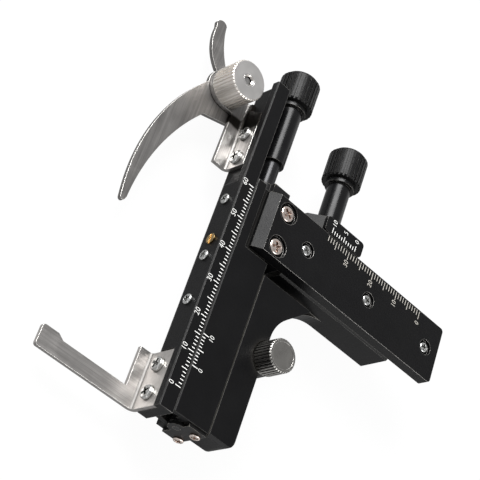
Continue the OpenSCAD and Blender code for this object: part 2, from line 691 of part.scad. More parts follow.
dovetail_x0 = 4;
dovetail_inset = 0.6;
dovetail_x1 = block_x1 - dovetail_inset;
module bar_dovetail() color("#8d8b86") placed() difference() {
    extrude_x(dovetail_x0, dovetail_x1) dovetail_outline(0);
    for (x = concat(bar_screw_xs, [adjusting_x])) facing_front([x, tongue_y - cut, bar_screw_z])
        cylinder(d = small_shank_d + 2 * fit, h = 2 * cut - tongue_y);
}

// Half nut that the lead screw drives, held by the far bar screw
nut_len = 8.6;
nut_inset = 6.7;
nut_x1 = dovetail_x1 - nut_inset;
nut_x0 = nut_x1 - nut_len;
module half_nut() color("#b08d4c") placed() difference() {
    box([nut_x0, screw_y + screw_d / 4, nut_low_z], [nut_x1, tongue_y + groove_slack, nut_high_z]);
    along_x([nut_x0 - cut, screw_y, screw_z]) cylinder(d = screw_d + 2 * fit, h = nut_x1 - nut_x0 + 2 * cut);
}

module bar_screws() color("#c9cac8") placed() for (x = bar_screw_xs)
    facing_front([x, bar_front_y, bar_screw_z])
        cross_screw(end_head_d, end_head_h, small_shank_d, bar_front_y - tongue_y - 2 * groove_slack);

// Slotted brass screw that takes up the play of the dovetail
module adjusting_screw() color("#b58a3a") placed() facing_front([adjusting_x, bar_front_y, bar_screw_z]) {
    difference() {
        cylinder(d = end_head_d, h = end_head_h / 2);
        translate([0, 0, end_head_h / 2]) cube([end_head_d + cut, cross_w_share * end_head_d, end_head_h / 2], center = true);
    }
    translate([0, 0, tongue_y + 2 * groove_slack - bar_front_y])
        cylinder(d = small_shank_d, h = bar_front_y - tongue_y - 2 * groove_slack);
}

// Sheet bent from an upright leg into a level flange
module angle_sheet(x0, x1, top_z, flange_z, out_y) extrude_x(x0, x1) polygon(concat(
    [[bar_face_y, top_z], [bar_face_y + sheet_t, top_z]],
    arc([bar_face_y + sheet_t + bend_r, flange_z + bend_r], bend_r, 180, 270, 5),
    [[out_y, flange_z], [out_y, flange_z - sheet_t]],
    arc([bar_face_y + sheet_t + bend_r, flange_z + bend_r], bend_r + sheet_t, 270, 180, 6)));

module fixed_finger() color("#c3c2bd") placed() difference() {
    union() {
        angle_sheet(bar_x0 + run, bar_x0 + run + fixed_tab_len, fixed_tab_top_z, flange_z1, flange_out_y);
        translate([0, 0, flange_z1 - sheet_t]) linear_extrude(sheet_t) polygon(concat(
            [[bar_x0 + run, flange_out_y - sheet_t]],
            arc([bar_x0 + run + tip_r, finger_tip_y - tip_r], tip_r, 180, 90, 4),
            arc([bar_x0 + run + finger_tip_w - tip_r, finger_tip_y - tip_r], tip_r, 90, 0, 4),
            [[bar_x0 + run + finger_tip_w, finger_tip_y - tip_len * tip_step_share]],
            [[bar_x0 + run + finger_w, finger_tip_y - tip_len]],
            [[bar_x0 + run + finger_w, flange_out_y - sheet_t]]));
    }
    for (x = finger_screw_xs) facing_front([x, bar_face_y - cut, finger_screw_z])
        cylinder(d = small_shank_d + 2 * fit, h = sheet_t + 2 * cut);
}
finger_tip_y = bar_front_y + finger_len;
tip_r = 0.7;
tip_len = 6.5;
tip_step_share = 0.72;

module fixed_finger_screws() color("#cfcfcc") placed() for (x = finger_screw_xs)
    facing_front([x, bar_face_y + sheet_t, finger_screw_z])
        cross_screw(finger_head_d, finger_head_h, small_shank_d, sheet_t + bar_t);

// Bracket of the curved finger: its upright leg slants down to a low tab, and a round lobe lies under the spring drum
module finger_bracket() color("#c3c2bd") placed() difference() {
    union() {
        angle_sheet(bracket_x0, bracket_x1, bracket_top_z, bracket_flange_z1, bracket_flange_y);
        translate([pivot_x, pivot_y, bracket_flange_z1 - sheet_t]) cylinder(r = lobe_r, h = sheet_t);
        box([bracket_leg_x1 - sheet_t, bracket_flange_y - sheet_t, bracket_flange_z1 - sheet_t],
            [bracket_x1, pivot_y, bracket_flange_z1]);
    }
    extrude_y(bar_face_y - cut, bar_face_y + sheet_t + cut) polygon([
        [bracket_leg_x1, cut], [bracket_leg_x1, bracket_top_z], [bracket_leg_x1 + bracket_lean, bracket_tab_z],
        [bracket_x1 + cut, bracket_tab_z], [bracket_x1 + cut, cut]]);
    translate([pivot_x, pivot_y, bracket_flange_z1 - sheet_t - cut]) cylinder(d = stud_d + 2 * fit, h = sheet_t + 2 * cut);
    for (x = bracket_screw_xs) facing_front([x, bar_face_y - cut, finger_screw_z])
        cylinder(d = small_shank_d + 2 * fit, h = sheet_t + 2 * cut);
}

module bracket_screws() color("#cfcfcc") placed() for (x = bracket_screw_xs)
    facing_front([x, bar_face_y + sheet_t, finger_screw_z])
        cross_screw(finger_head_d, finger_head_h, small_shank_d, sheet_t + bar_t);

// Curved finger with its hub and thumb lever, cut from one sheet
// Outline points from the pivot, and the radii of the arcs that join them
outer_tip = [-45.27, 17.05];
outer_hub = [-0.74, 5.4];
outer_r = 60;
inner_hub = [-10.8, 3.5];
inner_tip = [-46.76, 15];
inner_r = 65.4;
tip_at = [-47.3, 16];
tip_end_r = 0.75;
neck_at = [-8, -6.3];
hub_r = 5.7;
lever_outer_at = [13.8, -3.3];
lever_outer_r = 13;
lever_inner_at = [19.8, -15.7];
lever_inner_r = 22.5;
lever_tip_at = [16.45, 8.2];
lever_tip_r = 1.85;
module curved_finger() color("#c6c5c0") placed() translate([pivot_x, pivot_y, finger_z1 - sheet_t]) difference() {
    union() {
        // Blade between two arcs, from its tip to the hub
        linear_extrude(sheet_t) polygon(concat(arc(tip_at, tip_end_r, 265, 100, 6), bow(outer_tip, outer_hub, outer_r, 24),
            [[0, -hub_r * hub_foot_share], neck_at], bow(inner_hub, inner_tip, -inner_r, 20)));
        cylinder(r = hub_r, h = sheet_t);
        // Thumb lever
        linear_extrude(sheet_t) polygon(concat([[stud_hole_d, 0], [0, hub_r * lever_root_share]],
            arc(lever_outer_at, lever_outer_r, 145, 84, 12), arc(lever_tip_at, lever_tip_r, 80, -60, 8),
            arc(lever_inner_at, lever_inner_r, 97, 127, 10)));
    }
    translate([0, 0, -cut]) cylinder(d = stud_hole_d, h = sheet_t + 2 * cut);
}
hub_foot_share = 0.95;
lever_root_share = 0.9;
stud_hole_d = 3.2;

// Pivot stud: riveted in the finger, turning in the bracket and carrying the drum
module pivot_stud() color("#a8a8a5") placed() translate([pivot_x, pivot_y, 0]) difference() {
    union() {
        translate([0, 0, finger_z1 - sheet_t]) cylinder(d = stud_hole_d - 2 * fit, h = sheet_t + fit);
        translate([0, 0, finger_z1]) cylinder(d = stud_d, h = drum_z1 - drum_wall - finger_z1 - fit);
    }
    translate([0, 0, drum_z1 - drum_screw_len]) cylinder(d = small_shank_d + 2 * fit, h = drum_screw_len);
}
drum_screw_len = 6;
drum_screw_head_d = 3.6;
drum_screw_head_h = 0.7;
hex_share = 0.66;
drum_teeth = 36;
drum_groove = 0.3;

module spring_drum() color("#c8c7c3") placed() translate([pivot_x, pivot_y, drum_z0]) difference() {
    knurled(drum_d / 2, drum_h, drum_groove, drum_teeth, edge, edge);
    translate([0, 0, -cut]) cylinder(r = drum_d / 2 - drum_wall, h = drum_h - drum_wall + cut);
    cylinder(d = small_shank_d + 2 * fit, h = drum_h + cut);
    translate([0, 0, drum_h - drum_screw_head_h]) cylinder(d = drum_screw_head_d + 2 * fit, h = drum_wall);
}

module drum_screw() color("#7c7c7a") placed() translate([pivot_x, pivot_y, drum_z1 - drum_screw_head_h]) {
    difference() {
        cylinder(d = drum_screw_head_d, h = drum_screw_head_h - fit);
        translate([0, 0, fit]) cylinder(d = hex_share * drum_screw_head_d, h = drum_screw_head_h, $fn = 6);
    }
    translate([0, 0, 2 * fit + drum_screw_head_h - drum_screw_len]) cylinder(d = small_shank_d, h = drum_screw_len - drum_screw_head_h);
}

// Torsion spring inside the drum: one unbroken wire, wound about the stud and resting on the bracket
spring_r = 3.2;
spring_rings = 8;
spring_sides = 6;
function spring_point(i) = let (turn = i / spring_rings)
    [spring_r * cos(360 * turn), spring_r * sin(360 * turn), spring_wire_d / 2 + spring_pitch * turn];
spring_steps = spring_turns * spring_rings;
echo(least_gap_between_curls = spring_pitch - spring_wire_d);
module torsion_spring() color("#8f8f90") placed() translate([pivot_x, pivot_y, bracket_flange_z1]) {
    points = [for (i = [0:spring_steps], k = [0:spring_sides - 1])
        let (a = 360 * i / spring_rings, b = 360 * k / spring_sides, w = spring_wire_d / 2)
        spring_point(i) + w * [cos(b) * cos(a), cos(b) * sin(a), sin(b)]];
    sides = [for (i = [0:spring_steps - 1], k = [0:spring_sides - 1], half = [0, 1])
        let (p = i * spring_sides + k, q = i * spring_sides + (k + 1) % spring_sides)
        half == 0 ? [p, q, q + spring_sides] : [p, q + spring_sides, p + spring_sides]];
    first = [for (k = [1:spring_sides - 2]) [0, k + 1, k]];
    last_start = spring_steps * spring_sides;
    last = [for (k = [1:spring_sides - 2]) [last_start, last_start + k, last_start + k + 1]];
    polyhedron(points, concat(sides, first, last));
}

// Cross drive: shaft across the arm with its pinion, bush, sleeve and knob
module pinion_shaft() color("#8e8e8c") placed() along_x([0, pinion_y, pinion_z]) {
    translate([0, 0, slide_mid_x + fit]) cylinder(d = journal_d, h = pinion_x0 - slide_mid_x);
    translate([0, 0, pinion_x0]) cylinder(d = pin_d, h = pinion_knob_x0 + knob_len / 2 - pinion_x0);
}

flank_steps = 4;
function involute(base_r, a) = base_r * [cos(a) + a * PI / 180 * sin(a), sin(a) - a * PI / 180 * cos(a)];
function roll_angle(base_r, r) = sqrt(max(0, r * r / (base_r * base_r) - 1)) * 180 / PI;
function polar_angle(p) = atan2(p[1], p[0]);
module pinion_outline() {
    base_r = pi_r * cos(pressure_angle);
    out_r = pi_r + pinion_add;
    root_r = pi_r - pinion_ded;
    half_pitch_angle = 90 / pinion_teeth - backlash / 4 / pi_r * 180 / PI;
    at_pitch = polar_angle(involute(base_r, roll_angle(base_r, pi_r)));
    top_roll = roll_angle(base_r, out_r);
    flank = [for (i = [0:flank_steps]) let (p = involute(base_r, top_roll * i / flank_steps))
        [norm(p), half_pitch_angle + at_pitch - polar_angle(p)]];
    root_half = half_pitch_angle + at_pitch;
    polygon([for (t = [0:pinion_teeth - 1], p = concat([[root_r, -root_half]],
        [for (f = flank) [f[0], -f[1]]], [for (i = [flank_steps:-1:0]) flank[i]], [[root_r, root_half]]))
        let (a = 360 * (t + 0.5) / pinion_teeth + p[1]) p[0] * [cos(a), sin(a)]]);
}
module pinion() color("#b08d4c") placed() difference() {
    extrude_x(pinion_x0, pinion_x0 + pinion_w) translate([pinion_y, pinion_z]) rotate(90) pinion_outline();
    along_x([pinion_x0 - cut, pinion_y, pinion_z]) cylinder(d = pin_d + 2 * fit, h = pinion_w + 2 * cut);
}

// Bush of the cross drive, pressed in the housing, with two ring grooves on its flange
bush_x0 = pinion_x0 + pinion_w + run;
module shaft_bush() color("#1f1f20") placed() difference() {
    union() {
        along_x([bush_x0, pinion_y, pinion_z]) cylinder(d = bush_d, h = house_face_x - bush_x0);
        along_x([house_face_x, pinion_y, pinion_z]) cylinder(d = bush_flange_d, h = bush_flange_len);
    }
    along_x([bush_x0 - cut, pinion_y, pinion_z]) cylinder(d = pin_d + 2 * fit, h = house_face_x + bush_flange_len - bush_x0 + 2 * cut);
    for (i = [1, 2]) along_x([house_face_x + i * bush_flange_len / 3 - ring_w / 2, pinion_y, pinion_z]) difference() {
        cylinder(d = bush_flange_d + cut, h = ring_w);
        translate([0, 0, -cut]) cylinder(d = bush_flange_d - 2 * ring_t, h = ring_w + 2 * cut);
    }
}
module pinion_sleeve() color("#161617") placed() along_x([pinion_sleeve_x0, pinion_y, pinion_z])
    sleeve(pinion_knob_x0 - pinion_sleeve_x0, pin_d + 2 * fit, true);
module pinion_knob() color("#171718") placed() along_x([pinion_knob_x0, pinion_y, pinion_z]) drive_knob(pin_d + 2 * fit);
module pinion_knob_grub() color("#3c3c3e") placed() along_x([pinion_knob_x0, pinion_y, pinion_z]) grub_screw(pin_d);

base_casting();
vernier_plate();
clamp_screw();
clamp_knob();
clamp_washer();
cross_slide();
dovetail_rail();
rack();
slide_screws();
rail_screws();
guide_block();
near_end_plate();
far_bearing_plate();
end_plate_screws();
lead_screw();
screw_sleeve();
screw_knob();
screw_knob_grub();
scale_bar();
bar_dovetail();
half_nut();
bar_screws();
adjusting_screw();
fixed_finger();
fixed_finger_screws();
finger_bracket();
bracket_screws();
curved_finger();
pivot_stud();
spring_drum();
drum_screw();
torsion_spring();
pinion_shaft();
pinion();
shaft_bush();
pinion_sleeve();
pinion_knob();
pinion_knob_grub();
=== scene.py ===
import math
import bpy
import bmesh
from mathutils import Matrix, Vector


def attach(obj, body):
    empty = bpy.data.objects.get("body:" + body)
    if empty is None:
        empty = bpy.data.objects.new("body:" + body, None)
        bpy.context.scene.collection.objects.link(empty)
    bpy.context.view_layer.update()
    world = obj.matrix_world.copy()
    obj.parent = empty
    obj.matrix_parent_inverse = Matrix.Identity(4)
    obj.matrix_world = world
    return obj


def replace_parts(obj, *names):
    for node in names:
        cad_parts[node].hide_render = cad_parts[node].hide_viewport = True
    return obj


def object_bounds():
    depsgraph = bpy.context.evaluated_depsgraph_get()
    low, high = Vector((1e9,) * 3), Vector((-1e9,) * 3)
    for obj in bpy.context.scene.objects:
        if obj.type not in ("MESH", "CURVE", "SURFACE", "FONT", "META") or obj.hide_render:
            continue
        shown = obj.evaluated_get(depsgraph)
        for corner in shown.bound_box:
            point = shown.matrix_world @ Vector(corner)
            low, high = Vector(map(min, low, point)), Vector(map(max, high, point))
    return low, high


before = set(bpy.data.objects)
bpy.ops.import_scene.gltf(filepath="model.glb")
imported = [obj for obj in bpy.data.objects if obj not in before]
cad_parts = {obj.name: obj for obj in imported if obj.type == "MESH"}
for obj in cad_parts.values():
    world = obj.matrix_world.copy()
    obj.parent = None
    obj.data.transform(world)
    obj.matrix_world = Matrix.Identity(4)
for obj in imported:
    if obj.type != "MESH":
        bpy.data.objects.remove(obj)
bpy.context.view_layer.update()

# The base casting
# A zinc die casting with its front wall, web, foot, arm and shaft housing, under black baked enamel.
# The clamping screw holds its foot down on the microscope's stage.

MM = 0.001
# Places are given from the zero of the long scale: the clamping screw's axis, and the bar's top over the stage
CLAMP_X, CLAMP_Y = 20.9, -21.6
BAR_HEIGHT = 12.5


def from_scale_zero(x, y, z):
    """A place in millimetres from the zero of the long scale, as the frame's metres."""
    return Vector((x - CLAMP_X, y - CLAMP_Y, z + BAR_HEIGHT)) * MM


def linear(hex_colour):
    """A colour written as an sRGB hex value, as the linear colour that a shader takes."""
    shares = [int(hex_colour[i:i + 2], 16) / 255 for i in (1, 3, 5)]
    return (*[s / 12.92 if s <= 0.04045 else ((s + 0.055) / 1.055) ** 2.4 for s in shares], 1)


def add(tree, kind, settings=None, sockets=None):
    """Adds a node with its settings, and gives each named socket a value or another node's output."""
    made = tree.nodes.new(kind)
    for name, value in (settings or {}).items():
        setattr(made, name, value)
    for socket, value in (sockets or {}).items():
        if isinstance(value, bpy.types.NodeSocket):
            tree.links.new(value, made.inputs[socket])
        else:
            made.inputs[socket].default_value = value
    return made


def start_finish(name):
    """A new material with an empty tree, and the object coordinates that its patterns read."""
    material = bpy.data.materials.new(name)
    material.use_nodes = True
    material.node_tree.nodes.clear()
    place = add(material.node_tree, "ShaderNodeTexCoord").outputs["Object"]
    return material, material.node_tree, place


def per_mm(size):
    """The scale of a pattern whose features are this many millimetres across."""
    return 1 / (size * MM)


def rounded_edges(tree, radius_mm, height, height_mm):
    """The normal of a surface with its edges rounded and its relief, and a mask that is 1 on those edges."""
    edge = add(tree, "ShaderNodeBevel", {"samples": 12}, {"Radius": radius_mm * MM}).outputs["Normal"]
    true = add(tree, "ShaderNodeNewGeometry").outputs["True Normal"]
    along = add(tree, "ShaderNodeVectorMath", {"operation": "DOT_PRODUCT"}, {0: edge, 1: true}).outputs["Value"]
    mask = add(tree, "ShaderNodeMapRange", {"clamp": True},
               {"Value": along, "From Min": 0.99, "From Max": 0.92, "To Min": 0.0, "To Max": 1.0}).outputs["Result"]
    normal = add(tree, "ShaderNodeBump", {},
                 {"Strength": 1.0, "Distance": height_mm * MM, "Height": height, "Normal": edge}).outputs["Normal"]
    return normal, mask


# Along the frame's X, in millimetres: edges past the second place are rubbed and carry their full painted highlight,
# those before the first less
FAINT_EDGE_X, FULL_EDGE_X = 20.5, 22.5


def enamelled_zinc(name, dust_and_painted_light_share):
    """Black baked enamel on a zinc casting: near black, satin, with orange peel, with pale dust in its corners that is
    also painted light, lifting shaded hollows.
    Its edges are rubbed bare, which also paints their highlight, fully beside the slide and less elsewhere."""
    material, tree, place = start_finish(name)
    peel = add(tree, "ShaderNodeTexNoise", {},
               {"Vector": place, "Scale": per_mm(0.7), "Detail": 3.0, "Roughness": 0.6})
    clouds = add(tree, "ShaderNodeTexNoise", {}, {"Vector": place, "Scale": per_mm(7), "Detail": 4.0})
    chips = add(tree, "ShaderNodeTexNoise", {},
                {"Vector": place, "Scale": per_mm(4), "Detail": 3.0, "Roughness": 0.6})
    normal, edges = rounded_edges(tree, 0.24, peel.outputs["Fac"], 0.035)
    worn = add(tree, "ShaderNodeMapRange", {"clamp": True},
               {"Value": chips.outputs["Fac"], "From Min": 0.3, "From Max": 0.55}).outputs["Result"]
    across = add(tree, "ShaderNodeSeparateXYZ", {}, {"Vector": place}).outputs["X"]
    edge_strength = add(tree, "ShaderNodeMapRange", {"clamp": True},
                  {"Value": across, "From Min": FAINT_EDGE_X * MM, "From Max": FULL_EDGE_X * MM,
                   "To Min": 0.22, "To Max": 1.0}).outputs["Result"]
    rubs = add(tree, "ShaderNodeMath", {"operation": "MULTIPLY"}, {0: worn, 1: edge_strength}).outputs["Value"]
    bare = add(tree, "ShaderNodeMath", {"operation": "MULTIPLY"}, {0: edges, 1: rubs}).outputs["Value"]
    tone = add(tree, "ShaderNodeMix", {"data_type": "RGBA"},
               {"Factor": clouds.outputs["Fac"], "A": linear("#070708"), "B": linear("#0d0d0e")}).outputs["Result"]
    # Rubbed edges: bare metal, and also a painted highlight on the edges
    rubbed = add(tree, "ShaderNodeMix", {"data_type": "RGBA"},
                 {"Factor": bare, "A": tone, "B": linear("#7b7a77")}).outputs["Result"]
    # Pale dust in hollows: partly real dust, partly painted light that lifts the shaded pocket beside the arm
    open_share = add(tree, "ShaderNodeAmbientOcclusion", {"samples": 6}, {"Distance": 4 * MM}).outputs["AO"]
    dust_and_painted_light = add(tree, "ShaderNodeMapRange", {"clamp": True},
               {"Value": open_share, "From Min": 0.7, "From Max": 0.25,
                "To Min": 0.0, "To Max": dust_and_painted_light_share}).outputs["Result"]
    colour = add(tree, "ShaderNodeMix", {"data_type": "RGBA"},
                 {"Factor": dust_and_painted_light, "A": rubbed, "B": linear("#5b5853")}).outputs["Result"]
    gloss = add(tree, "ShaderNodeMapRange", {},
                {"Value": clouds.outputs["Fac"], "To Min": 0.36, "To Max": 0.5}).outputs["Result"]
    shader = add(tree, "ShaderNodeBsdfPrincipled", {},
                 {"Base Color": colour, "Roughness": gloss, "Specular IOR Level": 0.14,
                  "Metallic": bare, "Normal": normal})
    add(tree, "ShaderNodeOutputMaterial", {}, {"Surface": shader.outputs["BSDF"]})
    return material


def dress(node, material):
    """Gives a CAD piece its finish."""
    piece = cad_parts[node]
    piece.data.materials.clear()
    piece.data.materials.append(material)


# The base's high dust share also paints light into the shaded pocket beside the arm
dress("base_casting", enamelled_zinc("baked_black_enamel_on_zinc", 0.65))

# Vernier plate of the cross travel
# A small anodised aluminium plate on the housing, with a vernier of ten divisions filled white.
# It is stuck flush beside the moving slide.

# Along the frame's Y, in millimetres: past the second place, the rubbed edges and their painted highlight are scaled by
# the front share
REAR_EDGE_Y, FRONT_EDGE_Y = 22, 24
# How many times stronger the pits' relief is than the milling lines'
PIT_DEPTH = 7.0


def anodised_aluminium(name, fine_along, bright="#918f8c", front_share=1.0):
    """Black anodised aluminium, fine milled one way: satin, with bright lines where its edges are rubbed, which also
    paint the edges' highlight.
    Its pits and milling lines are drawn coarser than they are, so that they show."""
    material, tree, place = start_finish(name)
    stretch = [per_mm(0.25), per_mm(0.25), per_mm(0.25)]
    stretch["XYZ".index(fine_along)] = per_mm(7)
    mill = add(tree, "ShaderNodeMapping", {}, {"Vector": place, "Scale": stretch}).outputs["Vector"]
    lines = add(tree, "ShaderNodeTexNoise", {}, {"Vector": mill, "Scale": 1.0, "Detail": 2.0})
    smears = add(tree, "ShaderNodeTexNoise", {},
                 {"Vector": place, "Scale": per_mm(9), "Detail": 5.0, "Distortion": 0.6})
    chips = add(tree, "ShaderNodeTexNoise", {},
                {"Vector": place, "Scale": per_mm(5), "Detail": 3.0, "Roughness": 0.5})
    pits = add(tree, "ShaderNodeTexNoise", {},
               {"Vector": place, "Scale": per_mm(0.45), "Detail": 4.0, "Roughness": 0.65})
    relief = add(tree, "ShaderNodeMath", {"operation": "MULTIPLY_ADD"},
                 {0: pits.outputs["Fac"], 1: PIT_DEPTH, 2: lines.outputs["Fac"]}).outputs["Value"]
    normal, edges = rounded_edges(tree, 0.17, relief, 0.008)
    worn = add(tree, "ShaderNodeMapRange", {"clamp": True},
               {"Value": chips.outputs["Fac"], "From Min": 0.2, "From Max": 0.5}).outputs["Result"]
    forward = add(tree, "ShaderNodeSeparateXYZ", {}, {"Vector": place}).outputs["Y"]
    front = add(tree, "ShaderNodeMapRange", {"clamp": True},
                {"Value": forward, "From Min": REAR_EDGE_Y * MM, "From Max": FRONT_EDGE_Y * MM,
                 "To Min": 1.0, "To Max": front_share}).outputs["Result"]
    rubs = add(tree, "ShaderNodeMath", {"operation": "MULTIPLY"}, {0: worn, 1: front}).outputs["Value"]
    bare = add(tree, "ShaderNodeMath", {"operation": "MULTIPLY"}, {0: edges, 1: rubs}).outputs["Value"]
    tone = add(tree, "ShaderNodeMix", {"data_type": "RGBA"},
               {"Factor": smears.outputs["Fac"], "A": linear("#070708"), "B": linear("#0e0e0f")}).outputs["Result"]
    # Rubbed edges: bare metal, and also a painted highlight on the edges
    colour = add(tree, "ShaderNodeMix", {"data_type": "RGBA"},
                 {"Factor": bare, "A": tone, "B": linear(bright)}).outputs["Result"]
    gloss = add(tree, "ShaderNodeMapRange", {},
                {"Value": smears.outputs["Fac"], "To Min": 0.34, "To Max": 0.46}).outputs["Result"]
    shader = add(tree, "ShaderNodeBsdfPrincipled", {},
                 {"Base Color": colour, "Roughness": gloss, "Specular IOR Level": 0.14,
                  "Metallic": bare, "Normal": normal})
    add(tree, "ShaderNodeOutputMaterial", {}, {"Surface": shader.outputs["BSDF"]})
    return material


def engraving_fill(name, fresh, thinned):
    """White engraving paint: matt, and greyer where it has rubbed thin."""
    material, tree, place = start_finish(name)
    rubbed = add(tree, "ShaderNodeTexNoise", {}, {"Vector": place, "Scale": per_mm(0.5), "Detail": 4.0})
    thin = add(tree, "ShaderNodeMapRange", {"clamp": True},
               {"Value": rubbed.outputs["Fac"], "From Min": 0.58, "From Max": 0.8}).outputs["Result"]
    colour = add(tree, "ShaderNodeMix", {"data_type": "RGBA"},
                 {"Factor": thin, "A": linear(fresh), "B": linear(thinned)}).outputs["Result"]
    relief = add(tree, "ShaderNodeBump", {},
                 {"Strength": 0.5, "Distance": 0.01 * MM, "Height": rubbed.outputs["Fac"]})
    shader = add(tree, "ShaderNodeBsdfPrincipled", {},
                 {"Base Color": colour, "Roughness": 0.62, "Normal": relief.outputs["Normal"]})
    add(tree, "ShaderNodeOutputMaterial", {}, {"Surface": shader.outputs["BSDF"]})
    return material


engraving_paint = engraving_fill("white_engraving_paint", "#e6e6e3", "#8f8f8d")

WHITE_RISE = 0.015
WHITE_LINE_W = 0.21
LINES_PER_LONG_LINE = 5


def ruled_lines(shape, along, count, zero, step, edge, long_to, short_to, top, width=WHITE_LINE_W):
    """The filled lines of a scale that runs along X or Y, in millimetres from the scale zero.
    Each line goes from one edge to the long or the short end, on a surface at the height top."""
    for i in range(count):
        at = zero + step * i
        low, high = sorted((edge, short_to if i % LINES_PER_LONG_LINE else long_to))
        if along == "X":
            corners = (at - width / 2, low, top), (at + width / 2, high, top + WHITE_RISE)
        else:
            corners = (low, at - width / 2, top), (high, at + width / 2, top + WHITE_RISE)
        a, b = (from_scale_zero(*corner) for corner in corners)
        bmesh.ops.create_cube(shape, size=1, matrix=Matrix.Translation((a + b) / 2) @ Matrix.Diagonal((*(b - a), 1)))


# How a number is cut: its height as a share of the letter size, its narrowing, and how much its strokes are thinned
DIGIT_HEIGHT_SHARE = 0.73
DIGIT_WIDTH_SHARE = 0.86
DIGIT_SPACING = 1.05
STROKE_THINNING = 0.02


def number(shape, words, height, at):
    """A number of the scale, centred at a place in millimetres, upright towards +Y."""
    letters = bpy.data.curves.new("number", "FONT")
    letters.body = words
    letters.size = height / DIGIT_HEIGHT_SHARE * MM
    letters.align_x, letters.align_y = "CENTER", "CENTER"
    letters.space_character = DIGIT_SPACING
    letters.extrude = WHITE_RISE * MM
    letters.offset = -STROKE_THINNING * MM
    letters.resolution_u = 3
    sample = bpy.data.objects.new("number", letters)
    bpy.context.scene.collection.objects.link(sample)
    flat = bpy.data.meshes.new_from_object(sample.evaluated_get(bpy.context.evaluated_depsgraph_get()))
    flat.transform(Matrix.Translation(from_scale_zero(*at)) @ Matrix.Diagonal((DIGIT_WIDTH_SHARE, 1, 1, 1)))
    shape.from_mesh(flat)
    bpy.data.objects.remove(sample)
    bpy.data.curves.remove(letters)
    bpy.data.meshes.remove(flat)


def finished(name, shape, material, body):
    """Makes the piece from its mesh, with its finish, and lets it ride on its body."""
    mesh = bpy.data.meshes.new(name)
    shape.to_mesh(mesh)
    shape.free()
    mesh.materials.append(material)
    piece = bpy.data.objects.new(name, mesh)
    bpy.context.scene.collection.objects.link(piece)
    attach(piece, body)
    return piece


dress("vernier_plate", anodised_aluminium("black_anodised_vernier_plate", "Y", "#4c4b49"))

PLATE_TOP = 1.84
VERNIER_STEP = 0.9
CROSS_VERNIER_ZERO = -36.65
# This vernier's lines are a little further apart than its numbers' steps
CROSS_VERNIER_STEP = 0.91
CROSS_VERNIER_EDGE, CROSS_VERNIER_LONG, CROSS_VERNIER_SHORT = 63.9, 65.6, 64.95
CROSS_VERNIER_NUMBER_X, CROSS_VERNIER_NUMBER_H = 67.0, 1.6
shape = bmesh.new()
ruled_lines(shape, "Y", 11, CROSS_VERNIER_ZERO, CROSS_VERNIER_STEP,
            CROSS_VERNIER_EDGE, CROSS_VERNIER_LONG, CROSS_VERNIER_SHORT, PLATE_TOP)
for i in (0, 5, 10):
    number(shape, str(i), CROSS_VERNIER_NUMBER_H,
           (CROSS_VERNIER_NUMBER_X, CROSS_VERNIER_ZERO + VERNIER_STEP * i, PLATE_TOP))
finished("cross_vernier_marks", shape, engraving_paint, "base")

# Bush of the cross drive
# A turned brass bush in black chromate, pressed in the housing, with two ring grooves on its flange.


